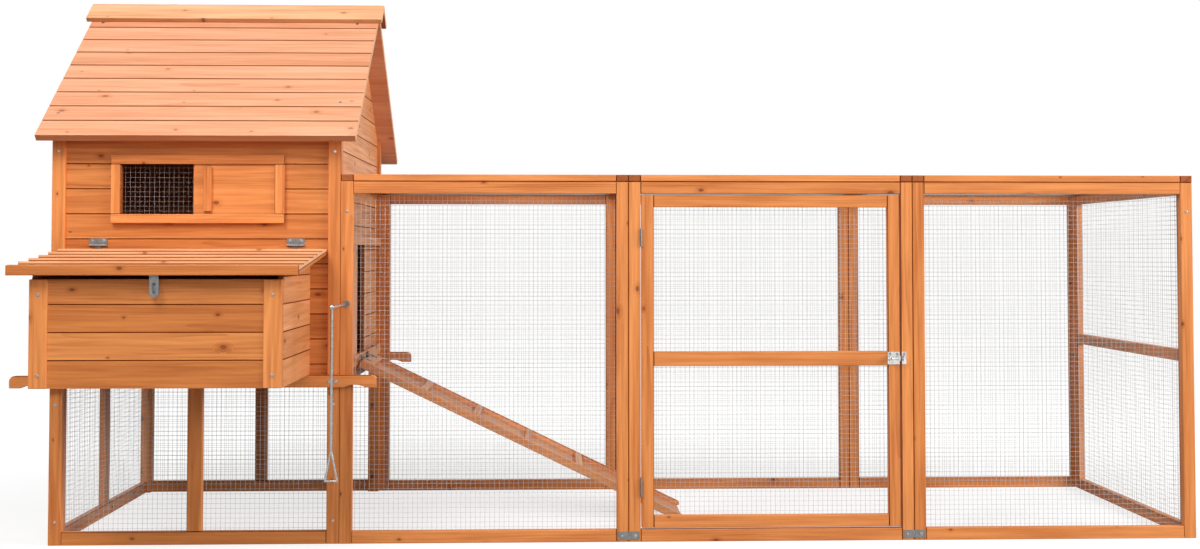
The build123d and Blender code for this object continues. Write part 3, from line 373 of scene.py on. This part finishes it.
def stained_fir(name, pale, dark, gloss=USUAL_GLOSS, tones=BOARD_TONES, ends=END_RED, knot=USUAL_KNOT):
    """Fir under a coloured stain: pale and dark are the colours of its lightest and darkest wood."""
    material, tree, shader = new_material(name)
    grain = reading(tree, "grain", "Vector")
    core, swirl = knots(tree, grain)
    late = late_wood(tree, grain, swirl)
    streaks = clouds(tree, grain, *STREAKS)
    share = dark_share(tree, grain, late, streaks, swirl)
    wood = blend_colours(tree, share, (*pale, 1), (*dark, 1))
    wood = blend_colours(tree, calc(tree, "MULTIPLY", core, knot), wood, KNOT_BROWN)
    end = reading(tree, "end")
    sawn = blend_colours(tree, calc(tree, "MULTIPLY", late, END_RINGS * knot * knot), ends, KNOT_BROWN)
    wood = blend_colours(tree, calc(tree, "MULTIPLY", end, END_COVER), wood, sawn)
    tone = spread(tree, reading(tree, "tone"), 0, 1, *tones)
    # Marked faces are darkened and lose sheen: stain in the joints, and painted shade in joints and under
    # edges.
    joint = spread(tree, reading(tree, "joint"), 0, 1, 1, DARKEST_STAIN_AND_SHADE)
    shade = calc(tree, "MULTIPLY", tone, joint)
    level = add(tree, "ShaderNodeCombineColor")
    for socket, strength in zip(level.inputs[:3], TONE_BY_CHANNEL):
        plug(tree, calc(tree, "POWER", shade, strength), socket)
    wood = blend_colours(tree, 1.0, wood, level.outputs[0], "MULTIPLY")
    plug(tree, wood, shader.inputs["Base Color"])
    smoothest, roughest = (gloss + change for change in ROUGHNESS_SPAN)
    rough = spread(tree, streaks, *STREAK_ROUGHNESS, smoothest, roughest)
    rough = calc(tree, "MAXIMUM", rough, calc(tree, "MULTIPLY", end, END_ROUGHNESS))
    plug(tree, rough, shader.inputs["Roughness"])
    sheen = calc(tree, "MULTIPLY", calc(tree, "POWER", joint, 2), SHEEN)
    plug(tree, sheen, shader.inputs["Specular IOR Level"])
    relief = add(tree, "ShaderNodeBump")
    relief.inputs["Strength"].default_value = RELIEF
    relief.inputs["Distance"].default_value = RELIEF_DEPTH
    height = calc(tree, "ADD", calc(tree, "MULTIPLY", late, RING_RELIEF), streaks)
    height = calc(tree, "SUBTRACT", height, calc(tree, "MULTIPLY", core, KNOT_RELIEF))
    plug(tree, height, relief.inputs["Height"])
    plug(tree, relief.outputs[0], shader.inputs["Normal"])
    return material


wall_fir = stained_fir("honey-stained wall boards", (0.78, 0.285, 0.080), (0.40, 0.100, 0.018))
print("fir finish made of", len(wall_fir.node_tree.nodes), "nodes")

# %% More stains, some paler or darker as painted sheen and shade
FRAME_TONES = (0.94, 1.06)
PALE_LOOK = {"gloss": 0.5, "tones": (0.95, 1.05), "ends": (0.97, 0.55, 0.32, 1)}
ROOF_KNOT = 0.55
LID_KNOT = 0.6
INNER_GLOSS = 0.52
CLEAT_GLOSS = 0.55

frame_fir = stained_fir(
    "honey-stained frame fir", (0.86, 0.315, 0.092), (0.45, 0.114, 0.021), tones=FRAME_TONES
)
# A paler fir whose paleness is painted sheen from the right-hand light on side faces; the pop door and the
# ramp planks share it.
sheen_side_fir = stained_fir("side boards, paler for painted sheen", (0.85, 0.370, 0.150), (0.52, 0.172, 0.052))
roof_fir = stained_fir(
    "pale-stained roof boards", (0.84, 0.410, 0.240), (0.60, 0.215, 0.092), knot=ROOF_KNOT, **PALE_LOOK
)
lid_fir = stained_fir(
    "stained lid slats", (0.89, 0.490, 0.265), (0.60, 0.240, 0.095), knot=LID_KNOT, **PALE_LOOK
)
# A darker fir for the timber inside the house: stain, and painted shade for the dim inside.
shaded_inner_fir = stained_fir(
    "red-stained inner timber, darkened for painted shade", (0.62, 0.215, 0.068), (0.30, 0.075, 0.018), gloss=INNER_GLOSS
)
ramp_fir = stained_fir(
    "thin-stained ramp cleats", (0.90, 0.460, 0.235), (0.52, 0.185, 0.064), gloss=CLEAT_GLOSS
)
firs = (wall_fir, frame_fir, sheen_side_fir, roof_fir, lid_fir, shaded_inner_fir, ramp_fir)
print("fir finishes made:", len(firs))

# %% [markdown]
# ## Timbers
#
# Each frame, post and rail on the real coop is a planed bar with slightly rounded arrises, and each one was
# cut from another plank. The solids already have the right sizes, so we copy them, let every bar come loose
# as its own object, round its edges with a bevel, and give it grain coordinates with a place of its own in
# the tree. Then the bars of one node are joined again and stand for that node.
#
# A node's mesh is loose triangles, and bars that touch share corners, so merging them by distance would
# weld the bars together. The first helper therefore follows each solid's surface until it is closed.

# %% Telling solids apart
SPOT_DIGITS = 6


def number_solids(mesh):
    """Numbers the faces by solid. Those of one solid follow each other until its surface has no open edge."""
    spots = [tuple(round(c, SPOT_DIGITS) for c in v.co) for v in mesh.vertices]
    waiting = Counter()
    number = 0
    for polygon in mesh.polygons:
        polygon.material_index = number
        corners = [spots[i] for i in polygon.vertices]
        for first, second in zip(corners, corners[1:] + corners[:1]):
            if waiting[second, first] > 0:
                waiting[second, first] -= 1
            elif first != second:
                waiting[first, second] += 1
        waiting = +waiting
        if not waiting:
            number += 1
    return number


def faces_by_solid(node):
    """The corners of every face of a node, in one list for each of its solids."""
    mesh = frame["nodes"][node].data.copy()
    faces = [[] for _ in range(number_solids(mesh))]
    for polygon in mesh.polygons:
        faces[polygon.material_index].append([mesh.vertices[i].co.copy() for i in polygon.vertices])
    bpy.data.meshes.remove(mesh)
    return faces


def box_of(points):
    low = tuple(min(p[i] for p in points) for i in range(3))
    high = tuple(max(p[i] for p in points) for i in range(3))
    return Vector(low), Vector(high)


def solid_boxes(node):
    return [box_of([spot for face in faces for spot in face]) for faces in faces_by_solid(node)]


print("house posts come apart into", len(solid_boxes("house_posts")), "bars")

# %% Copies to work on
MERGE = 1e-5
FLAT = math.radians(0.5)
SHARP = 0.3


def select_only(*objects):
    bpy.ops.object.select_all(action="DESELECT")
    for each in objects:
        each.select_set(True)
    bpy.context.view_layer.objects.active = objects[0]


def edit_all(thing):
    select_only(thing)
    bpy.ops.object.mode_set(mode="EDIT")
    bpy.ops.mesh.select_all(action="SELECT")


def parts_of(thing, way):
    edit_all(thing)
    bpy.ops.mesh.separate(type=way)
    bpy.ops.object.mode_set(mode="OBJECT")
    return list(bpy.context.selected_objects)


def copy_of(thing):
    twin = thing.copy()
    twin.data = thing.data.copy()
    for key in list(twin.keys()):
        del twin[key]
    twin.parent = None
    bpy.context.scene.collection.objects.link(twin)
    return twin


def solids_of(node):
    """Copies of a node's solids as objects of their own, with whole faces in place of triangles."""
    twin = copy_of(frame["nodes"][node])
    twin.data.materials.clear()
    for _ in range(number_solids(twin.data)):
        twin.data.materials.append(None)
    solids = parts_of(twin, "MATERIAL")
    for solid in solids:
        solid.data.materials.clear()
        edit_all(solid)
        bpy.ops.mesh.customdata_custom_splitnormals_clear()
        bpy.ops.mesh.remove_doubles(threshold=MERGE)
        bpy.ops.mesh.dissolve_limited(angle_limit=FLAT)
        bpy.ops.object.mode_set(mode="OBJECT")
        bpy.ops.object.shade_flat()
    return solids


def apply(thing, kind, **settings):
    """Adds a modifier and applies it."""
    select_only(thing)
    made = thing.modifiers.new("work", kind)
    for key, value in settings.items():
        setattr(made, key, value)
    bpy.ops.object.modifier_apply(modifier=made.name)


def ease(thing, width, segments=2):
    apply(thing, "BEVEL", width=width, segments=segments, limit_method="ANGLE", angle_limit=SHARP * 2)


print("edges that turn more than", round(math.degrees(SHARP * 2)), "degrees are eased")

# %% [markdown]
# Grain runs along a timber's longest arris. Each timber gets its own starting place in the pattern and its
# own tone, drawn from a seeded source, so that the lesson gives the same boards on every run. Where timbers
# meet, shadow and stain gather in the small groove between their rounded arrises. There are too many of
# those to pick by hand, so a search tree over all the solids finds them.

# %% Grain
FRONT, BACK = Vector((0, -1, 0)), Vector((0, 1, 0))
LEFT, RIGHT = Vector((-1, 0, 0)), Vector((1, 0, 0))
UP = Vector((0, 0, 1))
FACE_ON = 0.985
END_ON = 0.9
# Painted shade on faces that look down: the lower edges of boards and the ridge cap's underside.
PAINTED_UNDERSIDE_SHADE = 0.5
GRAIN_START = ((0, 60), (-0.04, 0.04), (0.015, 0.06))


def grain_direction(board):
    """A timber's grain runs along its longest arris."""
    shape = bmesh.new()
    shape.from_mesh(board.data)
    arrises = [e for e in shape.edges if e.is_manifold and e.calc_face_angle() > SHARP]
    longest = max(arrises, key=lambda e: e.calc_length())
    direction = (longest.verts[1].co - longest.verts[0].co).normalized()
    shape.free()
    return direction


def square_to(direction):
    """Two ways that are square to the grain and to each other."""
    side = direction.cross(UP)
    if side.length < SHARP:
        side = direction.cross(BACK)
    side.normalize()
    return side, direction.cross(side)


def give_grain(board, direction, face=None, across=None):
    """Writes the board's own coordinates and marks its sawn ends, and on boards its V slopes for stain and
    painted shade and its lower edges for painted shade.
    """
    mesh = board.data
    side, through = square_to(direction) if face is None else (across, face)
    axes = (direction, side, through)
    start = [chance.uniform(*span) for span in GRAIN_START]
    centre = sum((v.co for v in mesh.vertices), Vector()) / len(mesh.vertices)
    grain = mesh.attributes.new("grain", "FLOAT_VECTOR", "POINT")
    for spot, vertex in zip(grain.data, mesh.vertices):
        spot.vector = [(vertex.co - centre).dot(axis) + shift for axis, shift in zip(axes, start)]
    tone = mesh.attributes.new("tone", "FLOAT", "FACE")
    end = mesh.attributes.new("end", "FLOAT", "FACE")
    joint = mesh.attributes.new("joint", "FLOAT", "FACE")
    own_tone = chance.random()
    for polygon in mesh.polygons:
        tone.data[polygon.index].value = own_tone
        end.data[polygon.index].value = float(abs(polygon.normal.dot(direction)) > END_ON)
        if face is not None:
            # V slopes: stain and painted shade.
            slant = abs(polygon.normal.dot(across)) > SHARP and polygon.normal.dot(face) > SHARP
            # Lower edges: painted shade.
            lower_edge = polygon.normal.dot(across) < -FACE_ON
            joint.data[polygon.index].value = max(float(slant), PAINTED_UNDERSIDE_SHADE * float(lower_edge))


print("grain starts drawn with seed", SEED)

# %% Where timbers meet
CONTACT_REACH = 0.0016


def all_solids():
    """Every face of every solid in one search tree, and the box of the solid that each face belongs to."""
    points, corners, owners = [], [], []
    for node in frame["nodes"]:
        for faces, box in zip(faces_by_solid(node), solid_boxes(node)):
            for face in faces:
                corners.append(range(len(points), len(points) + len(face)))
                points += face
                owners.append(box)
    return BVHTree.FromPolygons(points, corners), owners


search_tree, face_owners = all_solids()


def mark_contacts(bar, own_box):
    """Marks the eased arrises that meet another timber, where shadow and stain gather."""
    joint = bar.data.attributes["joint"]
    for polygon in bar.data.polygons:
        if max(abs(c) for c in polygon.normal) > FACE_ON:
            continue
        found = search_tree.find_nearest_range(polygon.center, CONTACT_REACH)
        if any(face_owners[index] != own_box for place, normal, index, distance in found):
            joint.data[polygon.index].value = 1.0


print("faces to search for contacts:", len(face_owners))

# %% Dressing the timbers
ARRIS = 0.0016
TIMBERS = {
    frame_fir: (
        "house_posts", "lifting_rails", "window_frame", "shutter_handle", "window_shutter",
        "nest_corner_posts", "run_door_surround", "run_front_frames", "run_end_frame", "run_roof_frames",
        "run_door_frame", "run_back_frames",
    ),
    wall_fir: ("nest_lid_rails", "pen_frame"),
    sheen_side_fir: ("pop_door_guides", "pop_door_panel", "ramp_planks"),
    shaded_inner_fir: (
        "floor_bearers", "wall_plates", "roof_bearers", "house_floor", "perches", "nest_floor",
        "nest_divider",
    ),
    ramp_fir: ("ramp_cleats",),
    lid_fir: ("ridge_cap",),
}


def stand_for(parts, node, material):
    """Joins finished parts into the piece that shows in place of a node."""
    select_only(*parts)
    if len(parts) > 1:
        bpy.ops.object.join()
    piece = bpy.context.object
    piece.name = "dressed_" + node
    piece.data.name = piece.name
    piece.data.materials.clear()
    piece.data.materials.append(material)
    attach(piece, body_of[node])
    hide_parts(node)
    return piece


def dress_timbers(node, material):
    bars = solids_of(node)
    for bar in bars:
        direction = grain_direction(bar)
        own_box = box_of([v.co for v in bar.data.vertices])
        ease(bar, ARRIS)
        give_grain(bar, direction)
        mark_contacts(bar, own_box)
    return stand_for(bars, node, material)


dressed = {}
for material, nodes in TIMBERS.items():
    for node in nodes:
        dressed[node] = dress_timbers(node, material)
# Painted shade under the ridge cap.
cap = dressed["ridge_cap"].data
for polygon, joint in zip(cap.polygons, cap.attributes["joint"].data):
    joint.value = max(joint.value, PAINTED_UNDERSIDE_SHADE * float(polygon.normal.z < -SHARP))
for tone in dressed["nest_lid_rails"].data.attributes["tone"].data:
    tone.value = 0.0
print("timber pieces dressed:", len(dressed))

# %% [markdown]
# The solids leave room beside the run door's hinges, and that room would show as a slit of daylight. In the
# picture it is a dark line. Filling it would lock the door, so the two stiles are only swollen by less than
# a millimetre each, and a narrow gap stays.

# %% A narrow gap at the door's hinges
GAP_FILL = 0.0007


def shift_face(piece, level, shift):
    for vertex in piece.data.vertices:
        if abs(vertex.co.x - level) < MERGE:
            vertex.co.x += shift


door, surround = dressed["run_door_frame"], dressed["run_door_surround"]
door_face = min(v.co.x for v in door.data.vertices)
stile_face = max(v.co.x for v in surround.data.vertices if v.co.x < door_face)
shift_face(door, door_face, -GAP_FILL)
shift_face(surround, stile_face, GAP_FILL)
print("gap at the hinges", round((door_face - stile_face - 2 * GAP_FILL) * MM, 1), "mm")

# %% [markdown]
# ## Boarded walls, roof and lid
#
# The walls and the roof are tongue-and-groove boards with a small V at each joint. A solid panel with grooves
# would carry one grain right across its boards. So each panel is sliced at the bottom of every V with the
# bisect operator, and each slice becomes a board with its own grain and tone. The V's slopes are marked and
# darkened, for the stain that gathers there and as painted shade, so the joints read as fine dark lines. The
# lower edge of each board is darkened a little as painted shade.

# %% Slicing panels into boards
GROOVE_DEPTH = 0.002
JOINT_REACH = 0.0002


def joint_levels(panel, face, across, groove):
    """Where the panel's face has the bottom of a V joint, measured along the way across the boards."""
    depths = [v.co.dot(face) for v in panel.data.vertices]
    front = max(depths)
    levels = []
    for vertex, depth in zip(panel.data.vertices, depths):
        if abs(front - depth - groove) < JOINT_REACH:
            level = vertex.co.dot(across)
            if all(abs(level - other) > groove for other in levels):
                levels.append(level)
    return sorted(levels)


def keep_side(board, across, level, above):
    edit_all(board)
    bpy.ops.mesh.bisect(
        plane_co=across * level, plane_no=across, use_fill=True, clear_inner=above, clear_outer=not above
    )
    bpy.ops.object.mode_set(mode="OBJECT")


def slice_boards(panel, across, levels):
    boards = []
    for row in range(len(levels) + 1):
        board = copy_of(panel)
        if row > 0:
            keep_side(board, across, levels[row - 1], True)
        if row < len(levels):
            keep_side(board, across, levels[row], False)
        boards += parts_of(board, "LOOSE")
    bpy.data.objects.remove(panel)
    return boards


def dress_boards(node, material, faces, across, groove=GROOVE_DEPTH):
    """Dresses a node's panels; faces gives the outward way of each panel, by the panel's middle."""
    boards = []
    for panel in solids_of(node):
        corner_sum = sum((Vector(c) for c in panel.bound_box), Vector())
        face = faces(corner_sum / len(panel.bound_box))
        for board in slice_boards(panel, across, joint_levels(panel, face, across, groove)):
            give_grain(board, grain_direction(board), face, across)
            boards.append(board)
    stand_for(boards, node, material)
    return len(boards)


house_low, house_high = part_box("house_posts")
house_middle = (house_low + house_high) / 2
WALLS = (
    ("front_wall_boards", wall_fir, lambda centre: FRONT),
    ("back_wall_boards", wall_fir, lambda centre: BACK),
    ("right_wall_boards", sheen_side_fir, lambda centre: RIGHT),
    ("left_wall_boards", sheen_side_fir, lambda centre: LEFT),
    ("nest_front_boards", wall_fir, lambda centre: FRONT),
    ("nest_side_boards", sheen_side_fir, lambda centre: RIGHT if centre.x > house_middle.x else LEFT),
)
for node, material, faces in WALLS:
    print(node, dress_boards(node, material, faces, UP), "boards")

# %% Roof boards
PITCH = math.radians(41.0)
ROOF_GROOVE_DEPTH = 0.003

for node, toward in (("roof_front_boards", FRONT), ("roof_back_boards", BACK)):
    outward = toward * math.sin(PITCH) + UP * math.cos(PITCH)
    upward = UP * math.sin(PITCH) - toward * math.cos(PITCH)
    made = dress_boards(node, roof_fir, lambda centre: outward, upward, ROOF_GROOVE_DEPTH)
    print(node, made, "boards")

# %% [markdown]
# The nest lid is six lapped slats. Its solid is one stepped block, so it is cut just before each step. In the
# picture the front edges of the slats are pale at the top and dark below, and that dark part is painted
# shade.
# A blurred mark could show it, but a cut gives a clear line: every slat is cut once more along its shade
# line, and only what lies below the line is darkened, except on the front slat.

# %% Lid slats
LID_SLATS = 6
SLAT_CLEAR = 0.0002
SLAT_ARRIS = 0.0009
SLAT_PALE_EDGE = 0.0048
SLAT_EDGE_SHADE = 0.8

lid_low, lid_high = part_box("nest_lid_boards")
slat_step = (lid_high.y - lid_low.y) / LID_SLATS
slat_levels = [lid_low.y + slat_step * row - SLAT_CLEAR for row in range(1, LID_SLATS)]
slats = slice_boards(solids_of("nest_lid_boards")[0], BACK, slat_levels)
front_slat = min(slats, key=lambda slat: min(v.co.y for v in slat.data.vertices))
for slat in slats:
    front = min(v.co.y for v in slat.data.vertices)
    brink = max(v.co.z for v in slat.data.vertices if v.co.y < front + 2 * SLAT_CLEAR)
    shade_line = brink - SLAT_PALE_EDGE
    edit_all(slat)
    bpy.ops.mesh.remove_doubles(threshold=2 * SLAT_CLEAR)
    bpy.ops.mesh.select_all(action="SELECT")
    bpy.ops.mesh.bisect(plane_co=UP * shade_line, plane_no=UP)
    bpy.ops.object.mode_set(mode="OBJECT")
    ease(slat, SLAT_ARRIS)
    give_grain(slat, RIGHT)
    # Painted shade on the lower part of each slat's front edge, all but the front slat's.
    if slat != front_slat:
        for polygon, joint in zip(slat.data.polygons, slat.data.attributes["joint"].data):
            low_edge = polygon.normal.dot(FRONT) > FACE_ON and polygon.center.z < shade_line
            joint.value = SLAT_EDGE_SHADE * float(low_edge)
stand_for(slats, "nest_lid_boards", lid_fir)
print("lid slats:", len(slats))

# %% [markdown]
# ## Welded wire
#
# The wire is half-inch welded mesh: thin galvanised wires, one layer behind the other, that are welded where
# they cross. A picture on a plane would vanish from the side. One wire is modelled as a slim six-sided rod,
# an array modifier repeats it every half inch, and a second layer crosses it. The sheets of a real run are
# never quite flat, so the wires bow a little towards the inside.

# %% Wire finish
SPANGLE = ((60, 60, 60), 3)
WIRE_GREYS = ((0.46, 0.44, 0.42, 1), (0.66, 0.64, 0.61, 1))
WIRE_ROUGHNESS = (0.3, 0.7, 0.34, 0.5)
WIRE_METAL = 0.05

zinc_wire, tree, shader = new_material("galvanised wire")
spangle = clouds(tree, add(tree, "ShaderNodeTexCoord").outputs["Object"], *SPANGLE)
plug(tree, blend_colours(tree, spangle, *WIRE_GREYS), shader.inputs["Base Color"])
plug(tree, spread(tree, spangle, *WIRE_ROUGHNESS), shader.inputs["Roughness"])
shader.inputs["Metallic"].default_value = WIRE_METAL
print("wire finish made of", len(tree.nodes), "nodes")

# %% One layer of wires
MESH_PITCH = 0.0127
WIRE_SIDES = 6
WIRE_BENDS = 7
TURN_TO_AXIS = ((0, math.pi / 2, 0), (math.pi / 2, 0, 0), (0, 0, 0))


def wires(low, high, along, across, thin, level, radius):
    """One wire along an axis, repeated across another by an array."""
    span = high[across] - low[across] - 2 * radius
    count = int(span / MESH_PITCH) + 1
    start = (low + high) / 2
    start[across] -= (count - 1) * MESH_PITCH / 2
    start[thin] = level
    length = high[along] - low[along]
    bpy.ops.object.select_all(action="DESELECT")
    bpy.ops.mesh.primitive_cylinder_add(
        vertices=WIRE_SIDES, radius=radius, depth=length, location=start, rotation=TURN_TO_AXIS[along]
    )
    wire = bpy.context.object
    bpy.ops.object.transform_apply()
    for edge in wire.data.edges:
        first, second = (wire.data.vertices[i].co for i in edge.vertices)
        edge.select = (first - second).length > length / 2
    for polygon in wire.data.polygons:
        polygon.select = False
    bpy.context.tool_settings.mesh_select_mode = (False, True, False)
    bpy.ops.object.mode_set(mode="EDIT")
    bpy.ops.mesh.subdivide(number_cuts=WIRE_BENDS)
    bpy.ops.object.mode_set(mode="OBJECT")
    step = [0.0, 0.0, 0.0]
    step[across] = MESH_PITCH
    apply(
        wire, "ARRAY", count=count, use_relative_offset=False, use_constant_offset=True,
        constant_offset_displace=step,
    )
    return wire


print("wires every", round(MESH_PITCH * MM, 1), "mm")

# %% Drawing the nets
WIRE_RADIUS = {"window_mesh": 0.00020}
USUAL_RADIUS = 0.00038
LAYER_SINK = 0.65
BOW = {"run_roof_mesh": 0.011, "window_mesh": 0.0}
USUAL_BOW = 0.003
RIPPLE = 0.0004
RIPPLE_FADE = 6
RIPPLE_WAVES = ((9, 4), (-3, 7))


def bow_wires(net, low, high, thin, depth):
    """Bows a net towards the inside of the coop, with a slight ripple."""
    first, second = [axis for axis in range(3) if axis != thin]
    inward = 1 if low[thin] < middle[thin] else -1
    for vertex in net.data.vertices:
        u = (vertex.co[first] - low[first]) / (high[first] - low[first])
        v = (vertex.co[second] - low[second]) / (high[second] - low[second])
        swell = math.sin(math.pi * u) * math.sin(math.pi * v)
        wave, cross_wave = (math.sin(along * u + across * v) for along, across in RIPPLE_WAVES)
        ripple = RIPPLE * wave * cross_wave
        vertex.co[thin] += inward * (depth * swell + ripple * min(1, RIPPLE_FADE * swell))


def net_boxes(node):
    """Boxes of a node's nets: the solids are single wires, and those that touch belong to one net."""
    boxes = []
    for low, high in solid_boxes(node):
        apart = []
        for other_low, other_high in boxes:
            if all(low[i] < other_high[i] + MERGE and high[i] > other_low[i] - MERGE for i in range(3)):
                low = Vector([min(low[i], other_low[i]) for i in range(3)])
                high = Vector([max(high[i], other_high[i]) for i in range(3)])
            else:
                apart.append((other_low, other_high))
        boxes = apart + [(low, high)]
    return boxes


def draw_nets(node):
    nets = []
    radius = WIRE_RADIUS.get(node, USUAL_RADIUS)
    for low, high in net_boxes(node):
        thin = min(range(3), key=lambda axis: high[axis] - low[axis])
        first, second = [axis for axis in range(3) if axis != thin]
        level = (low[thin] + high[thin]) / 2
        gap = radius * LAYER_SINK
        net = [
            wires(low, high, first, second, thin, level - gap, radius),
            wires(low, high, second, first, thin, level + gap, radius),
        ]
        select_only(*net)
        bpy.ops.object.join()
        bow_wires(bpy.context.object, low, high, thin, BOW.get(node, USUAL_BOW))
        nets.append(bpy.context.object)
    piece = stand_for(nets, node, zinc_wire)
    select_only(piece)
    bpy.ops.object.shade_smooth()
    return piece


NETS = (
    "window_mesh", "pen_mesh", "run_front_mesh", "run_back_mesh", "run_end_mesh", "run_roof_mesh",
    "run_door_mesh",
)
for node in NETS:
    piece = draw_nets(node)
    print(node, len(piece.data.polygons), "faces")

# %% [markdown]
# ## Hardware
#
# Hinges, hasp and plates are stamped from zinc-plated sheet, and the rods and the bolt are bright. Their
# solids are right, so they only need softened edges, smooth round surfaces and a metal finish that is not too
# even.

# %% Plated finishes
BLOTCHES = ((90, 90, 90), 4)
BLOTCH_RANGE = (0.3, 0.7)
ROUGHER = 0.14
SCRATCHES = ((300, 900, 300), 3)
SCRATCH_STRENGTH = 0.15
SCRATCH_DEPTH = 0.0002


def plated(name, dull, bright, rough):
    material, tree, shader = new_material(name)
    place = add(tree, "ShaderNodeTexCoord").outputs["Object"]
    blotch = clouds(tree, place, *BLOTCHES)
    plug(tree, blend_colours(tree, blotch, (*dull, 1), (*bright, 1)), shader.inputs["Base Color"])
    plug(tree, spread(tree, blotch, *BLOTCH_RANGE, rough, rough + ROUGHER), shader.inputs["Roughness"])
    shader.inputs["Metallic"].default_value = 1.0
    scratches = add(tree, "ShaderNodeBump")
    scratches.inputs["Strength"].default_value = SCRATCH_STRENGTH
    scratches.inputs["Distance"].default_value = SCRATCH_DEPTH
    plug(tree, clouds(tree, place, *SCRATCHES), scratches.inputs["Height"])
    plug(tree, scratches.outputs[0], shader.inputs["Normal"])
    return material


zinc_plate = plated("zinc-plated sheet", (0.12, 0.12, 0.12), (0.27, 0.27, 0.26), 0.36)
bright_steel = plated("bright-plated steel", (0.20, 0.20, 0.20), (0.46, 0.46, 0.45), 0.20)
polished_steel = plated("polished bolt steel", (0.40, 0.40, 0.40), (0.88, 0.88, 0.86), 0.12)
print("plated finish made of", len(zinc_plate.node_tree.nodes), "nodes")

# %% Dressing the hardware
PLATE_EASE = 0.0003
ROUND = math.radians(35)
METALS = {
    zinc_plate: (
        "lid_hinge_wall_leaves", "lid_hinge_lid_leaves", "hasp_leaf", "hasp_strap", "hasp_staple",
        "ramp_hinge_wall_leaves", "ramp_hinge_ramp_leaves", "door_hinge_post_leaves",
        "door_hinge_door_leaves", "hinge_pins", "joining_plates", "rod_ferrule",
    ),
    bright_steel: ("pop_door_rod", "pull_rod"),
    polished_steel: ("bolt_body", "bolt_rod", "bolt_keeper"),
}


def dress_metal(node, material):
    parts = solids_of(node)
    for part in parts:
        ease(part, PLATE_EASE, 1)
    select_only(stand_for(parts, node, material))
    bpy.ops.object.shade_smooth_by_angle(angle=ROUND)


for material, nodes in METALS.items():
    for node in nodes:
        dress_metal(node, material)
print("metal pieces dressed:", sum(len(nodes) for nodes in METALS.values()))

# %% [markdown]
# ## Screws
#
# The coop is held by cross-head screws. One head is modelled: a low cylinder whose rim is rounded with a
# bevel, with a cross cut into it by two thin blocks and a boolean modifier. Copies of it take the place of
# the plain heads on the posts, and more sit on the plates, the hinge leaves, the bolt and the roof, where
# they show too.

# %% One screw head
HEAD_RADIUS = 0.0040
HEAD_HEIGHT = 0.0015
HEAD_SIDES = 24
RIM_SHARE = 0.45
RIM_STEPS = 3
CROSS_LENGTH = 0.0046
CROSS_WIDTH = 0.0010
CROSS_DEPTH = 0.0009


def cross_head():
    bpy.ops.object.select_all(action="DESELECT")
    bpy.ops.mesh.primitive_cylinder_add(
        vertices=HEAD_SIDES, radius=HEAD_RADIUS, depth=HEAD_HEIGHT, location=(0, 0, HEAD_HEIGHT / 2)
    )
    head = bpy.context.object
    bpy.ops.object.transform_apply()
    ease(head, HEAD_HEIGHT * RIM_SHARE, RIM_STEPS)
    for length, width in ((CROSS_LENGTH, CROSS_WIDTH), (CROSS_WIDTH, CROSS_LENGTH)):
        bpy.ops.mesh.primitive_cube_add(size=1, location=(0, 0, HEAD_HEIGHT))
        block = bpy.context.object
        block.scale = (length, width, 2 * CROSS_DEPTH)
        bpy.ops.object.transform_apply()
        apply(head, "BOOLEAN", object=block, operation="DIFFERENCE", solver="EXACT")
        bpy.data.objects.remove(block)
    return head


pattern_head = cross_head()
print("screw head:", len(pattern_head.data.polygons), "faces")

# %% Screws in their places
LEAF_THICK = 0.002
# Node, distance to either side of its middle, distance below its top
SCREWED = (
    ("lid_hinge_wall_leaves", 0.015, 0.0065),
    ("joining_plates", 0.018, None),
    ("bolt_body", 0.010, 0.005),
    ("bolt_keeper", 0.0, 0.006),
)


def screws_at(places, facing):
    """Heads whose feet stand at the places, with the cross of each turned another way."""
    heads = []
    aim = facing.to_track_quat("Z", "Y").to_matrix().to_4x4()
    for place in places:
        head = copy_of(pattern_head)
        turn = Matrix.Rotation(chance.uniform(0, math.pi), 4, "Z")
        head.data.transform(Matrix.Translation(place) @ aim @ turn)
        heads.append(head)
    return heads


def finish_screws(heads, name, body):
    select_only(*heads)
    bpy.ops.object.join()
    piece = bpy.context.object
    piece.name = name
    piece.data.name = name
    piece.data.materials.clear()
    piece.data.materials.append(bright_steel)
    bpy.ops.object.shade_smooth_by_angle(angle=ROUND)
    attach(piece, body)
    return piece


heads = []
for low, high in solid_boxes("frame_screws"):
    heads += screws_at([((low.x + high.x) / 2, high.y, (low.z + high.z) / 2)], FRONT)
screw_count = len(heads)
piece = finish_screws(heads, "dressed_frame_screws", body_of["frame_screws"])
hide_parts("frame_screws")
for node, aside, drop in SCREWED:
    places = []
    for low, high in solid_boxes(node):
        across = (low.x + high.x) / 2
        for x in {across - aside, across + aside}:
            z = (low.z + high.z) / 2 if drop is None else high.z - drop
            places.append((x, high.y - LEAF_THICK, z))
    heads = screws_at(sorted(places), FRONT)
    screw_count += len(heads)
    finish_screws(heads, "screws_on_" + node, body_of[node])
print("screws on timber and metal:", screw_count)

# %% Screws on the roof
ROOF_THICK = 0.018
HEAD_SINK = 0.0004
# Distance along the eave from the right post's face, and up the slope from the eave
ROOF_SCREWS = ((-0.745, 0.552), (-0.012, 0.552), (-0.012, 0.152), (-0.745, 0.098))

roof_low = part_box("roof_front_boards")[0]
eave_top = Vector((house_high.x, roof_low.y, roof_low.z + ROOF_THICK * math.cos(PITCH)))
up_front = UP * math.sin(PITCH) - FRONT * math.cos(PITCH)
out_front = FRONT * math.sin(PITCH) + UP * math.cos(PITCH)
places = [eave_top + RIGHT * x + up_front * up - out_front * HEAD_SINK for x, up in ROOF_SCREWS]
finish_screws(screws_at(places, out_front), "screws_on_roof", body_of["roof_front_boards"])
bpy.data.objects.remove(pattern_head)
print("roof screws:", len(places))
